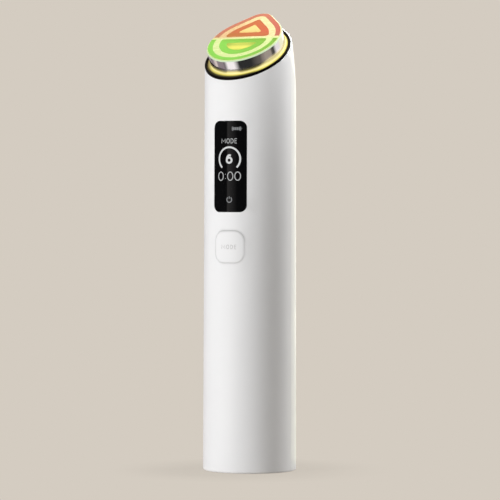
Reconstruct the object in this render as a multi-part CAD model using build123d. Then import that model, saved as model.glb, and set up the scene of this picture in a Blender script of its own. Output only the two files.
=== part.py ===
from build123d import *

import os
from math import atan2, copysign, cos, radians, sin, sqrt, tan

# Facial toning wand, in millimetres. +Z runs up the body, the display and the button face -Y,
# and the origin is the centre of the round base. The head leans towards -Y.

# ---------------------------------------------------------------- casing
BASE_RADIUS = 18.6
BODY_DRAFT = 0.4
HEAD_ABOVE_BOARD = 17.9
HEAD_TILT = 33.8
WALL = 1.8
DECK = 2.2
BASE_EDGE = 0.8
SHARP = 0.01

NECK_BELOW = 15.0
NECK_SLOPE = 2.0
NECK_CURVE = 200.0
NECK_SECTIONS = 5
NECK_WIDEST = -2.5
NECK_SIDE_REACH = 0.76
NECK_FRONT_REACH = 3.3
NECK_REAR_REACH = 2.5
NECK_NOSE_DROP = 1.45
NECK_TIP_RADIUS = 10.5
NECK_FLANK = 50.0

# ---------------------------------------------------------------- ring round the head
RING_SIDE_INSET = 0.95
RING_NOSE_INSET = 0.15
RING_TIP_INSET = 0.5
RING_WIDEST = -3.1
RING_NOSE_DROP = 1.1
RING_TIP_RADIUS = 6.0
RING_FLANK = 45.0
TRIM_WIDTH = 0.95
TRIM_HEIGHT = 0.9
TRIM_EDGE = 0.3
GLOW_HEIGHT = 0.8
GLOW_EDGE = 0.25
RING_GAP = 0.05

# ---------------------------------------------------------------- head
FACE_SIDE_INSET = 2.0
FACE_NOSE_INSET = 3.4
FACE_TIP_INSET = 2.4
FACE_WIDEST = -2.4
FACE_NOSE_DROP = 1.2
FACE_TIP_RADIUS = 6.1
FACE_FLANK = 42.5
SHELL_HEIGHT = 6.15
SHELL_WALL = 1.3
SHELL_FLANGE = 1.9
FLANGE_THICKNESS = 1.0
FACE_THICKNESS = 0.7
FACE_BEVEL = 0.4
FACE_BOSS_DEPTH = 1.4
HEAD_GAP = 0.1

ELECTRODE_RIM = 0.6
OUTER_BAND_SHARE = 0.124
BAND_SPACING_SHARE = 0.183
INNER_BAND_SHARE = 0.196
DIVIDER_SHARE = 0.131
DIVIDER_AT = -0.5
ELECTRODE_THICKNESS = 0.7
ELECTRODE_PROUD = 0.08
ELECTRODE_GAP = 0.05
ELECTRODE_CORNER = 1.1
LENS_CORNER = 0.7
PIN_RADIUS = 0.4
PIN_TO_SHELL = 0.28
PIN_COLLAR_RADIUS = 0.6
PIN_COLLAR_HEIGHT = 0.8
PIN_GAP = 0.15

HEAD_BASE_THICKNESS = 1.6
SPIGOT_INSET = 5.65
SPIGOT_GAP = 0.15
CLAMP_LAP = 1.6
CLAMP_THICKNESS = 1.6
SEAL_THICKNESS = 0.6
SEAL_WIDTH = 1.2
HEAD_FLEX_AT = -3.0
HEAD_FLEX_WIDTH = 7.0
HEAD_FLEX_THICKNESS = 0.25
HEAD_FLEX_DROP = 3.0
FLEX_SLOT_GAP = 0.5
HEAD_SCREW_RADIUS = 0.7
HEAD_SCREW_HEAD_RADIUS = 1.3
HEAD_SCREW_HEAD = 0.9
HEAD_SCREW_INSET = 2.15
HEAD_SCREW_SHARE = 0.3
LED_BOARD_THICKNESS = 0.8
LED_BOARD_GAP = 0.3
LED_SIZE = 1.6
LED_HEIGHT = 0.6
LED_RING_INSET = 2.5
LED_COUNT = 8

# ---------------------------------------------------------------- display and button
WINDOW_BELOW_BOARD_TOP = 10.2
WINDOW_WIDTH = 14.4
WINDOW_LENGTH = 35.9
WINDOW_CORNER = 2.75
WINDOW_THICKNESS = 1.1
WINDOW_LEDGE = 1.15
WINDOW_GAP = 0.05
MODULE_MARGIN = 0.7
MODULE_THICKNESS = 1.4
MODULE_GAP = 0.15
GASKET_FRAME = 0.7
BRACKET_WALL = 1.2
DISPLAY_FLEX_WIDTH = 8.0
DISPLAY_FLEX_THICKNESS = 0.2
DISPLAY_FLEX_DROP = 1.8

BUTTON_BELOW_WINDOW = 13.7
BUTTON_SIZE = 12.6
BUTTON_CORNER = 3.9
BUTTON_GAP = 0.25
BUTTON_EDGE = 0.3
BUTTON_TRAVEL = 0.4
BUTTON_FLANGE = 1.0
BUTTON_FLANGE_THICKNESS = 0.9
BUTTON_SEAT_GAP = 0.1
STEM_RADIUS = 1.5
STEM_GAP = 0.1
GUIDE_THICKNESS = 1.0
GUIDE_LEG = 2.4
GUIDE_TO_SWITCH = 1.5
BUTTON_SEAL_THICKNESS = 0.5
BUTTON_SEAL_MARGIN = 0.15
SWITCH_SIZE = 6.0
SWITCH_HEIGHT = 2.2
PLUNGER_RADIUS = 1.6
PLUNGER_REACH = 1.2
PLUNGER_SINK = 0.5
PLUNGER_GAP = 0.1

# ---------------------------------------------------------------- boards and chassis
BOARD_THICKNESS = 1.2
BOARD_SIDE_ROOM = 1.9
BOARD_BELOW_CELL = 7.0
BOARD_ABOVE_CHASSIS = 1.0
BOARD_GAP = 0.1
CHASSIS_GAP = 0.2
CHASSIS_WALL = 1.4
CHASSIS_ABOVE_MOTOR = 7.5
CHASSIS_SHELL_FROM = 6.0
RIB = 1.6
RAIL_LIP = 1.2
FLEX_CONNECTOR_WIDTH = 9.0
FLEX_CONNECTOR_HEIGHT = 3.0
FLEX_CONNECTOR_DEPTH = 1.2
HEAD_CONNECTOR_DROP = 3.0

CELL_LENGTH = 65.0
CELL_ABOVE_FLOOR = 23.0
CELL_TO_BOARD = 2.1
CELL_TO_WALL = 2.7
CELL_GAP = 0.2
CELL_NUB_RADIUS = 3.2
CELL_NUB_HEIGHT = 0.8
TAB_THICKNESS = 0.3
TAB_WIDTH = 5.0
PAD_THICKNESS = 1.1
PAD_INSET = 1.2

MOTOR_BACK = 3.0
MOTOR_ABOVE_TRANSFORMER = 17.0
MOTOR_RADIUS = 3.5
MOTOR_LENGTH = 15.5
MOTOR_SHAFT_RADIUS = 0.5
MOTOR_BORE_GAP = 0.05
MOTOR_BORE_DEPTH = 8.0
MOTOR_SHAFT_SINK = 7.5
MOTOR_SHAFT_REACH = 7.0
WEIGHT_RADIUS = 3.2
WEIGHT_HUB_RADIUS = 1.1
WEIGHT_LENGTH = 4.0
WEIGHT_LIFT = 1.4
SLEEVE_THICKNESS = 0.9
SLEEVE_LIFT = 1.0

TRANSFORMER_ABOVE_CELL = 12.0
CORE_WIDTH = 12.0
CORE_HEIGHT = 10.0
CORE_DEPTH = 9.0
CORE_LEG = 2.4
COIL_RADIUS = 3.4
BUZZER_BELOW_BUTTON = 19.2
BUZZER_RADIUS = 5.0
BUZZER_DEPTH = 3.0
BUZZER_HOLE = 0.7
CHIP_THICKNESS = 1.0
CONTROLLER_UP_CELL = 21.0
CONTROLLER_SIZE = 7.0
DRIVER_UP_CELL = 7.0
DRIVER_SIZE = 5.0
DRIVER_SPREAD = 5.5

# ---------------------------------------------------------------- base
CAP_RECESS = 0.4
CAP_THICKNESS = 2.0
CAP_GAP = 0.1
CAP_SKIRT = 1.6
CAP_SKIRT_HEIGHT = 3.6
CAP_SEAL_SECTION = 1.0
CAP_SEAL_SINK = 0.7
PORT_WIDTH = 8.94
PORT_DEPTH = 3.26
PORT_LENGTH = 7.3
PORT_BOTTOM = 0.7
PORT_SHEET = 0.3
PORT_END_FLAT = 0.06
PORT_TONGUE_WIDTH = 6.2
PORT_TONGUE = 0.7
PORT_TONGUE_LENGTH = 5.0
GASKET_WALL = 0.8
PORT_BOARD_WIDTH = 16.0
PORT_BOARD_TOP = 16.0
PORT_BOARD_BOTTOM = 2.8
FLOOR_BOTTOM = 8.0
FLOOR_THICKNESS = 2.0
BOSS_RADIUS = 2.3
BOSS_INSET = 3.2
BOSS_LENGTH = 9.0
CHASSIS_SCREW_RADIUS = 0.8
CHASSIS_SCREW_HEAD_RADIUS = 1.5
CHASSIS_SCREW_HEAD = 1.0
CHASSIS_SCREW_BITE = 6.0
CAP_SCREW_INSET = 9.6
CAP_SCREW_RADIUS = 0.8
CAP_SCREW_HEAD_RADIUS = 1.6
CAP_SCREW_HEAD = 1.1
CAP_SCREW_BITE = 1.8
CAP_SCREW_SINK = 0.2
CAP_POST_WALL = 0.9
SCREW_GAP = 0.15
DRIVE_SLOT = 0.35
DRIVE_DEPTH = 0.45

# ---------------------------------------------------------------- worked out from the above
FLOOR_TOP = FLOOR_BOTTOM + FLOOR_THICKNESS
CAP_TOP = CAP_RECESS + CAP_THICKNESS
CELL_BOTTOM = FLOOR_BOTTOM + CELL_ABOVE_FLOOR
CELL_TOP = CELL_BOTTOM + CELL_LENGTH
TRANSFORMER_AT = CELL_TOP + TRANSFORMER_ABOVE_CELL
MOTOR_BOTTOM = TRANSFORMER_AT + MOTOR_ABOVE_TRANSFORMER
MOTOR_TOP = MOTOR_BOTTOM + MOTOR_LENGTH
SLEEVE_BOTTOM = MOTOR_BOTTOM + SLEEVE_LIFT
SLEEVE_LENGTH = MOTOR_LENGTH - 2 * SLEEVE_LIFT
CHASSIS_TOP = MOTOR_TOP + CHASSIS_ABOVE_MOTOR
BOARD_TOP = CHASSIS_TOP + BOARD_ABOVE_CHASSIS
BOARD_BOTTOM = CELL_BOTTOM - BOARD_BELOW_CELL
HEAD_CONNECTOR_TOP = BOARD_TOP - HEAD_CONNECTOR_DROP
HEAD_HEIGHT = BOARD_TOP + HEAD_ABOVE_BOARD
DISPLAY_HEIGHT = BOARD_TOP - WINDOW_BELOW_BOARD_TOP - WINDOW_LENGTH / 2
BUTTON_HEIGHT = DISPLAY_HEIGHT - WINDOW_LENGTH / 2 - BUTTON_BELOW_WINDOW
BUZZER_AT = BUTTON_HEIGHT - BUZZER_BELOW_BUTTON
CONTROLLER_AT = CELL_BOTTOM + CONTROLLER_UP_CELL
DRIVER_AT = CELL_BOTTOM + DRIVER_UP_CELL

NECK_RADIUS = BASE_RADIUS - BODY_DRAFT
BODY_TOP = HEAD_HEIGHT + NECK_RADIUS
NECK_START = HEAD_HEIGHT - NECK_BELOW
BOSS_AT = BASE_RADIUS - WALL - BOSS_INSET
CAP_SCREW_AT = BASE_RADIUS - CAP_SCREW_INSET
HALF_SPACE = 120.0

TILT = radians(HEAD_TILT)
HEAD_PLANE = Plane(origin=(0, 0, HEAD_HEIGHT), x_dir=(1, 0, 0), z_dir=(0, -sin(TILT), cos(TILT)))
HEAD_AXIS = Axis(HEAD_PLANE.origin, HEAD_PLANE.z_dir)
RING_HALF_WIDTH = NECK_RADIUS - RING_SIDE_INSET
DECK_REACH = NECK_RADIUS / cos(TILT)
RING_FRONT = DECK_REACH - RING_NOSE_INSET
RING_REAR = DECK_REACH - RING_TIP_INSET
FACE_HALF_WIDTH = RING_HALF_WIDTH - FACE_SIDE_INSET
FACE_FRONT = RING_FRONT - FACE_NOSE_INSET
FACE_REAR = RING_REAR - FACE_TIP_INSET
FACE_TOP = SHELL_HEIGHT + FACE_THICKNESS
OUTER_BAND = OUTER_BAND_SHARE * FACE_HALF_WIDTH
BAND_SPACING = BAND_SPACING_SHARE * FACE_HALF_WIDTH
INNER_BAND = INNER_BAND_SHARE * FACE_HALF_WIDTH
DIVIDER_WIDTH = DIVIDER_SHARE * FACE_HALF_WIDTH
POCKET_FLOOR = FACE_TOP + ELECTRODE_PROUD - ELECTRODE_THICKNESS
HEAD_BASE_TOP = FLANGE_THICKNESS + HEAD_BASE_THICKNESS
LED_BOARD_TOP = HEAD_BASE_TOP + LED_BOARD_THICKNESS
CLAMP_TOP = -DECK - SEAL_THICKNESS
CLAMP_BOTTOM = CLAMP_TOP - CLAMP_THICKNESS


def body_radius(height):
    """Outer radius of the casing at a height, with its moulding draft."""
    return BASE_RADIUS - BODY_DRAFT * height / HEAD_HEIGHT


def inner_y(half_width, height, gap=0.0):
    """Y of the casing's inner wall, on the display side, half_width away from the middle."""
    return -sqrt((body_radius(height) - WALL - gap) ** 2 - half_width**2)


# The button's stack sets how deep the board lies, and the cell takes the room behind it.
FLANGE_HALF = BUTTON_SIZE / 2 + BUTTON_GAP + BUTTON_FLANGE
FLANGE_BACK = inner_y(FLANGE_HALF, BUTTON_HEIGHT, BUTTON_SEAT_GAP) + BUTTON_FLANGE_THICKNESS
SEAL_FRONT = FLANGE_BACK + BUTTON_TRAVEL + BUTTON_SEAL_MARGIN
SEAL_BACK = SEAL_FRONT + BUTTON_SEAL_THICKNESS
GUIDE_BACK = SEAL_BACK + GUIDE_THICKNESS
SWITCH_FRONT = GUIDE_BACK + GUIDE_TO_SWITCH
PLUNGER_TIP = SWITCH_FRONT - PLUNGER_REACH
BOARD_FRONT = SWITCH_FRONT + SWITCH_HEIGHT
BOARD_BACK = BOARD_FRONT + BOARD_THICKNESS
CONNECTOR_FRONT = BOARD_FRONT - FLEX_CONNECTOR_DEPTH
BODY_INSIDE = NECK_RADIUS - WALL
BOARD_HALF_WIDTH = sqrt(BODY_INSIDE**2 - BOARD_FRONT**2) - BOARD_SIDE_ROOM
CELL_RADIUS = (BODY_INSIDE - CELL_TO_WALL - BOARD_BACK - CELL_TO_BOARD) / 2
CELL_BACK = BODY_INSIDE - CELL_TO_WALL - CELL_RADIUS


def egg(half_width, widest_at, front, rear, nose_radius, tip_radius, flank_angle):
    """Flat shape with a round nose at -Y and flanks that close in on a smaller tip at +Y."""
    flank = radians(flank_angle)
    reach = widest_at + front - nose_radius
    cheek_radius = (half_width**2 + reach**2 - nose_radius**2) / (2 * (half_width - nose_radius))
    tip_centre = Vector(0, rear - tip_radius)
    flank_reach = tan(flank) * (tip_centre.Y - widest_at) + tip_radius / cos(flank)
    shoulder_radius = (flank_reach - half_width) / (1 / cos(flank) - 1)
    nose_centre = Vector(0, nose_radius - front)
    cheek_centre = Vector(half_width - cheek_radius, widest_at)
    shoulder_centre = Vector(half_width - shoulder_radius, widest_at)
    cheek_angle = atan2(nose_centre.Y - cheek_centre.Y, nose_centre.X - cheek_centre.X)

    def arc(centre, radius, start, end):
        angles = (start, (start + end) / 2, end)
        return ThreePointArc(*[centre + Vector(cos(a), sin(a)) * radius for a in angles])

    side = [
        arc(nose_centre, nose_radius, radians(-90), cheek_angle),
        arc(cheek_centre, cheek_radius, cheek_angle, 0),
        arc(shoulder_centre, shoulder_radius, 0, flank),
    ]
    if tip_radius > SHARP:
        tip = arc(tip_centre, tip_radius, flank, radians(90))
        side += [Line(side[-1] @ 1, tip @ 0), tip]
    else:
        side.append(Line(side[-1] @ 1, tip_centre + Vector(0, tip_radius / sin(flank))))
    other_side = [edge.mirror(Plane.YZ) for edge in side]
    return Sketch() + Face(Wire(side + other_side))


def face_outline(inset=0.0):
    """Outline of the treatment face, in the plane of the head, moved inwards by inset."""
    return egg(
        FACE_HALF_WIDTH - inset,
        FACE_WIDEST,
        FACE_FRONT - inset,
        FACE_REAR - inset,
        FACE_HALF_WIDTH - FACE_NOSE_DROP - inset,
        FACE_TIP_RADIUS - inset,
        FACE_FLANK,
    )


def ring_outline(inset=0.0):
    """Outline of the trim ring, in the plane of the head, moved inwards by inset."""
    return egg(
        RING_HALF_WIDTH - inset,
        RING_WIDEST,
        RING_FRONT - inset,
        RING_REAR - inset,
        RING_HALF_WIDTH - RING_NOSE_DROP - inset,
        RING_TIP_RADIUS - inset,
        RING_FLANK,
    )


def neck_outline(inset=0.0):
    """Level section of the neck where its flats begin, beyond the round body elsewhere."""
    half_width = NECK_RADIUS + NECK_SIDE_REACH
    return egg(
        half_width - inset,
        NECK_WIDEST,
        NECK_RADIUS + NECK_FRONT_REACH - inset,
        NECK_RADIUS + NECK_REAR_REACH - inset,
        half_width - NECK_NOSE_DROP - inset,
        NECK_TIP_RADIUS - inset,
        NECK_FLANK,
    )


def head_slab(sketch, bottom, top):
    """Extrudes a flat shape square to the head's plane, between two levels above the deck."""
    return extrude(HEAD_PLANE.offset(bottom) * sketch, top - bottom, dir=HEAD_PLANE.z_dir)


def above_head(level):
    """Everything above a level of the head's plane."""
    side = 2 * HALF_SPACE
    box = Box(side, side, side, align=(Align.CENTER, Align.CENTER, Align.MIN))
    return HEAD_PLANE.offset(level).location * box


def head_point(ahead, level):
    """The (y, z) of a point on the head's line of symmetry."""
    point = HEAD_PLANE.from_local_coords(Vector(0, ahead, level))
    return (point.Y, point.Z)


def body_cone(inset=0.0, bottom=0.0, top=BODY_TOP, edge=0.0):
    """Round body between two heights, moved inwards by inset, with its bottom edge rounded."""
    outer_bottom = (body_radius(bottom) - inset, 0, bottom)
    outer_top = (body_radius(top) - inset, 0, top)
    profile = Face(Wire.make_polygon([(0, 0, bottom), outer_bottom, outer_top, (0, 0, top)]))
    if edge > 0:
        corner = profile.vertices().sort_by_distance(outer_bottom)[0]
        profile = profile.fillet_2d(edge, [corner])
    return revolve(profile, Axis.Z)


def neck_block(inset=0.0):
    """Tall block whose two flats curve inwards as they rise past NECK_START."""
    height = BODY_TOP - NECK_START
    rises = [-height, -height / 2] + [height * step / NECK_SECTIONS for step in range(NECK_SECTIONS + 1)]
    sections = []
    for rise in rises:
        depth = rise * tan(radians(NECK_SLOPE)) + max(rise, 0) ** 2 / (2 * NECK_CURVE)
        sections.append(Plane.XY.offset(NECK_START + rise) * neck_outline(inset + depth))
    return loft(sections)


def body_form(inset=0.0, edge=0.0):
    """Body with its neck, before the top is cut at a slant."""
    around_neck = upright(2 * BASE_RADIUS, 2 * NECK_START - BODY_TOP, BODY_TOP) - neck_block(inset)
    return body_cone(inset, edge=edge) - around_neck


def front_prism(width, length, corner, height, back=0.0, front=-HALF_SPACE):
    """Rounded rectangle seen from the front, extruded along Y."""
    plane = Plane(origin=(0, front, height), x_dir=(1, 0, 0), z_dir=(0, 1, 0))
    return extrude(plane * RectangleRounded(width, length, corner), back - front)


def box_between(low, high):
    """Box from its lowest corner to its highest."""
    size = Vector(*high) - Vector(*low)
    return Pos(*low) * Box(size.X, size.Y, size.Z, align=(Align.MIN, Align.MIN, Align.MIN))


def upright(radius, bottom, top, x=0.0, y=0.0):
    """Cylinder along Z between two heights."""
    solid = Cylinder(radius, top - bottom, align=(Align.CENTER, Align.CENTER, Align.MIN))
    return Pos(x, y, bottom) * solid


def along_y(radius, front, back, height):
    """Cylinder along Y between two depths."""
    plane = Plane(origin=(0, front, height), x_dir=(1, 0, 0), z_dir=(0, 1, 0))
    return extrude(plane * Circle(radius), back - front)


def ribbon(route, width, thickness):
    """Flat ribbon in straight runs between (y, z) points."""
    points = [Vector(0, y, z) for y, z in route]
    sides = [(end - start).normalized().cross(Vector(1, 0, 0)) for start, end in zip(points, points[1:])]
    shifts = []
    for before, after in zip([sides[0]] + sides, sides + [sides[-1]]):
        shifts.append((before + after) * (thickness / 2 / (1 + before.dot(after))))
    there = [point + shift for point, shift in zip(points, shifts)]
    back = [point - shift for point, shift in zip(points, shifts)]
    face = Face(Wire.make_polygon(there + back[::-1]))
    return extrude(face, width / 2, dir=(1, 0, 0), both=True)


def save(node, *solids):
    """Writes one node, as one solid or as a group of separate ones."""
    shape = solids[0] if len(solids) == 1 else Compound(children=list(solids))
    export_step(shape, f"parts/{node}.step")


# ---------------------------------------------------------------- casing
def make_casing():
    """One-piece tube with a slanted deck, a stepped window, a button opening and two bosses."""
    casing = body_form(edge=BASE_EDGE) - above_head(0)
    casing -= body_form(WALL) - above_head(-DECK)
    casing -= head_slab(face_outline(SPIGOT_INSET - SPIGOT_GAP), -2 * DECK, DECK)
    window_hole = front_prism(
        WINDOW_WIDTH + 2 * WINDOW_GAP,
        WINDOW_LENGTH + 2 * WINDOW_GAP,
        WINDOW_CORNER + WINDOW_GAP,
        DISPLAY_HEIGHT,
    )
    casing -= window_hole - body_cone(WINDOW_THICKNESS)
    casing -= front_prism(
        WINDOW_WIDTH - 2 * WINDOW_LEDGE,
        WINDOW_LENGTH - 2 * WINDOW_LEDGE,
        WINDOW_CORNER - WINDOW_LEDGE,
        DISPLAY_HEIGHT,
    )
    button_hole = BUTTON_SIZE + 2 * BUTTON_GAP
    casing -= front_prism(button_hole, button_hole, BUTTON_CORNER + BUTTON_GAP, BUTTON_HEIGHT)
    for x in (-BOSS_AT, BOSS_AT):
        casing += casing_boss(x)
        casing -= upright(CHASSIS_SCREW_RADIUS, FLOOR_TOP, FLOOR_TOP + CHASSIS_SCREW_BITE, x)
    save("casing", casing)


def casing_boss(x):
    """Screw boss inside the casing, joined to its wall by a web."""
    top = FLOOR_TOP + BOSS_LENGTH
    wall_x = copysign(BASE_RADIUS, x)
    web = box_between((min(x, wall_x), -BOSS_RADIUS, FLOOR_TOP), (max(x, wall_x), BOSS_RADIUS, top))
    return (upright(BOSS_RADIUS, FLOOR_TOP, top, x) + web) & body_cone(WALL / 2)


# ---------------------------------------------------------------- head
def beyond(edge, way):
    """Half of the head's plane, in front of an edge (way -1) or behind it (way 1)."""
    align = Align.MIN if way > 0 else Align.MAX
    return Pos(0, edge) * Rectangle(HALF_SPACE, HALF_SPACE, align=(Align.CENTER, align))


def half_zone(inset, edge, way, corner):
    """One half of the face moved inwards by inset, with every corner at least this round."""
    core = beyond(edge + way * corner, way) & face_outline(inset + corner)
    return offset(core, corner)


def half_shapes(way, gap=0.0):
    """Outer band, inner outline and lens of one half of the face, each grown by gap."""
    edge = DIVIDER_AT + way * (DIVIDER_WIDTH / 2 - gap)
    band = face_outline(ELECTRODE_RIM - gap) - face_outline(ELECTRODE_RIM + OUTER_BAND + gap)
    inner_inset = ELECTRODE_RIM + OUTER_BAND + BAND_SPACING - gap
    inner = half_zone(inner_inset, edge, way, ELECTRODE_CORNER + gap)
    lens = half_zone(inner_inset + INNER_BAND, edge + way * INNER_BAND, way, LENS_CORNER + gap)
    return band & beyond(edge, way), inner, lens


def pin_places():
    """Where a sprung pin meets each electrode, along the face's line of symmetry."""
    outer = SHELL_WALL + PIN_TO_SHELL + PIN_RADIUS
    inner = (DIVIDER_WIDTH + INNER_BAND) / 2
    return (outer - FACE_FRONT, DIVIDER_AT - inner, DIVIDER_AT + inner, FACE_REAR - outer)


def make_face():
    """Chrome shell, the translucent plate on it, its inlays and the pins that feed them."""
    shell = head_slab(face_outline(), 0, SHELL_HEIGHT)
    shell -= head_slab(face_outline(SHELL_WALL), FLANGE_THICKNESS, SHELL_HEIGHT)
    shell -= head_slab(face_outline(SHELL_WALL + SHELL_FLANGE), 0, SHELL_HEIGHT)
    save("head_shell", shell)

    plate = head_slab(face_outline(), SHELL_HEIGHT, FACE_TOP)
    plate = chamfer(plate.edges().group_by(HEAD_AXIS)[-1], FACE_BEVEL)
    plate += head_slab(face_outline(SHELL_WALL + HEAD_GAP), SHELL_HEIGHT - FACE_BOSS_DEPTH, SHELL_HEIGHT)
    for name, way in (("front", -1), ("rear", 1)):
        outer, inner, lens = half_shapes(way)
        outer_pocket, inner_pocket, lens_pocket = half_shapes(way, ELECTRODE_GAP)
        for pocket in (outer_pocket, inner_pocket):
            plate -= head_slab(pocket, POCKET_FLOOR, FACE_TOP + ELECTRODE_THICKNESS)
        inlays = {"outer_electrode": outer, "inner_electrode": inner - lens_pocket, "lens": lens}
        for kind, inlay in inlays.items():
            save(f"{name}_{kind}", head_slab(inlay, POCKET_FLOOR, POCKET_FLOOR + ELECTRODE_THICKNESS))
    pins = []
    for place in pin_places():
        plate -= head_slab(Pos(0, place) * Circle(PIN_RADIUS + PIN_GAP), LED_BOARD_TOP, POCKET_FLOOR)
        collar = Pos(0, place) * Circle(PIN_COLLAR_RADIUS)
        pins.append(
            head_slab(Pos(0, place) * Circle(PIN_RADIUS), LED_BOARD_TOP, POCKET_FLOOR)
            + head_slab(collar, LED_BOARD_TOP, LED_BOARD_TOP + PIN_COLLAR_HEIGHT)
        )
    save("face_plate", plate)
    save("contact_pins", *pins)


def make_led_board():
    """Board under the face, with its LEDs in a ring."""
    save("led_board", head_slab(face_outline(SHELL_WALL + LED_BOARD_GAP), HEAD_BASE_TOP, LED_BOARD_TOP))
    path = face_outline(SHELL_WALL + LED_RING_INSET).wires()[0]
    leds = []
    for index in range(LED_COUNT):
        place = path @ ((index + 0.5) / LED_COUNT)
        square = Pos(place.X, place.Y) * Rectangle(LED_SIZE, LED_SIZE)
        leds.append(head_slab(square, LED_BOARD_TOP, LED_BOARD_TOP + LED_HEIGHT))
    save("leds", *leds)


def make_head_base():
    """Base that clamps the shell to the deck, with its seal, clamp plate and screws below."""
    base = head_slab(face_outline(SHELL_WALL + HEAD_GAP), FLANGE_THICKNESS, HEAD_BASE_TOP)
    base += head_slab(face_outline(SPIGOT_INSET), CLAMP_TOP, FLANGE_THICKNESS)
    clamp = head_slab(face_outline(SPIGOT_INSET - CLAMP_LAP), CLAMP_BOTTOM, CLAMP_TOP)
    flex_hole = Pos(0, HEAD_FLEX_AT) * Rectangle(
        HEAD_FLEX_WIDTH + 2 * FLEX_SLOT_GAP, HEAD_FLEX_THICKNESS + 2 * FLEX_SLOT_GAP
    )
    base -= head_slab(flex_hole, CLAMP_TOP, HEAD_BASE_TOP)
    clamp -= head_slab(flex_hole, CLAMP_BOTTOM, CLAMP_TOP)
    screw_bottom = CLAMP_BOTTOM - HEAD_SCREW_HEAD
    nose_at = SPIGOT_INSET + HEAD_SCREW_INSET - FACE_FRONT
    rear_at = HEAD_SCREW_SHARE * FACE_HALF_WIDTH
    screws = []
    for x, y in ((0, nose_at), (-rear_at, rear_at), (rear_at, rear_at)):
        shank = Pos(x, y) * Circle(HEAD_SCREW_RADIUS)
        screw = head_slab(shank, screw_bottom, FLANGE_THICKNESS)
        screw += head_slab(Pos(x, y) * Circle(HEAD_SCREW_HEAD_RADIUS), screw_bottom, CLAMP_BOTTOM)
        slot = Pos(x, y) * Rectangle(2 * HEAD_SCREW_HEAD_RADIUS, DRIVE_SLOT)
        screws.append(screw - head_slab(slot, screw_bottom, screw_bottom + DRIVE_DEPTH))
        base -= head_slab(shank, CLAMP_TOP, FLANGE_THICKNESS)
        clamp -= head_slab(Pos(x, y) * Circle(HEAD_SCREW_RADIUS + SCREW_GAP), CLAMP_BOTTOM, CLAMP_TOP)
    save("head_base", base)
    save("head_clamp", clamp)
    save("head_screws", *screws)
    seal_inset = SPIGOT_INSET - SPIGOT_GAP - SEAL_WIDTH
    seal = face_outline(seal_inset) - face_outline(seal_inset + SEAL_WIDTH)
    save("head_seal", head_slab(seal, CLAMP_TOP, -DECK))


def make_rings():
    """Black trim ring and the light guide inside it, both standing on the deck."""
    trim = head_slab(ring_outline() - ring_outline(TRIM_WIDTH), 0, TRIM_HEIGHT)
    save("trim_ring", fillet(trim.edges().group_by(HEAD_AXIS)[-1], TRIM_EDGE))
    glow = head_slab(ring_outline(TRIM_WIDTH + RING_GAP) - face_outline(-RING_GAP), 0, GLOW_HEIGHT)
    save("light_ring", fillet(glow.edges().group_by(HEAD_AXIS)[-1], GLOW_EDGE))


# ---------------------------------------------------------------- display
def make_display():
    """Curved window, its gasket, the panel behind it, the panel's bracket and its flex."""
    window = front_prism(WINDOW_WIDTH, WINDOW_LENGTH, WINDOW_CORNER, DISPLAY_HEIGHT)
    save("display_window", window & (body_cone() - body_cone(WINDOW_THICKNESS)))

    half = WINDOW_WIDTH / 2 - MODULE_MARGIN
    low = DISPLAY_HEIGHT - WINDOW_LENGTH / 2 + MODULE_MARGIN
    high = DISPLAY_HEIGHT + WINDOW_LENGTH / 2 - MODULE_MARGIN
    module_front = inner_y(half, high, MODULE_GAP)
    module_back = module_front + MODULE_THICKNESS
    save("display_module", box_between((-half, module_front, low), (half, module_back, high)))

    inner = half - GASKET_FRAME
    gasket = box_between((-half, -HALF_SPACE, low), (half, module_front, high))
    gasket -= box_between(
        (-inner, -HALF_SPACE, low + GASKET_FRAME), (inner, module_front, high - GASKET_FRAME)
    )
    save("display_gasket", gasket & body_cone(WALL))

    inner = half - BRACKET_WALL
    bracket = box_between((-half, module_back, low), (half, BOARD_FRONT, high))
    bracket -= box_between(
        (-inner, module_back, low + BRACKET_WALL), (inner, BOARD_FRONT, high - BRACKET_WALL)
    )
    save("display_bracket", bracket)

    flex_y = (module_front + module_back) / 2
    flex_low = low - DISPLAY_FLEX_DROP
    connector_top = flex_low - DISPLAY_FLEX_DROP / 2
    tail_y = (BOARD_FRONT + CONNECTOR_FRONT) / 2
    route = [(flex_y, low), (flex_y, flex_low), (tail_y, flex_low), (tail_y, connector_top)]
    save("display_flex", ribbon(route, DISPLAY_FLEX_WIDTH, DISPLAY_FLEX_THICKNESS))
    save("flex_connectors", flex_connector(connector_top), flex_connector(HEAD_CONNECTOR_TOP))

    head_tail_y = BOARD_FRONT - HEAD_FLEX_THICKNESS / 2
    route = [
        head_point(HEAD_FLEX_AT, HEAD_BASE_TOP),
        head_point(HEAD_FLEX_AT, CLAMP_BOTTOM - HEAD_FLEX_DROP),
        (head_tail_y, BOARD_TOP + HEAD_FLEX_DROP),
        (head_tail_y, HEAD_CONNECTOR_TOP),
    ]
    save("head_flex", ribbon(route, HEAD_FLEX_WIDTH, HEAD_FLEX_THICKNESS))


def flex_connector(top):
    """Socket on the front of the main board that a flex plugs into from above."""
    half = FLEX_CONNECTOR_WIDTH / 2
    return box_between((-half, CONNECTOR_FRONT, top - FLEX_CONNECTOR_HEIGHT), (half, BOARD_FRONT, top))


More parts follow.
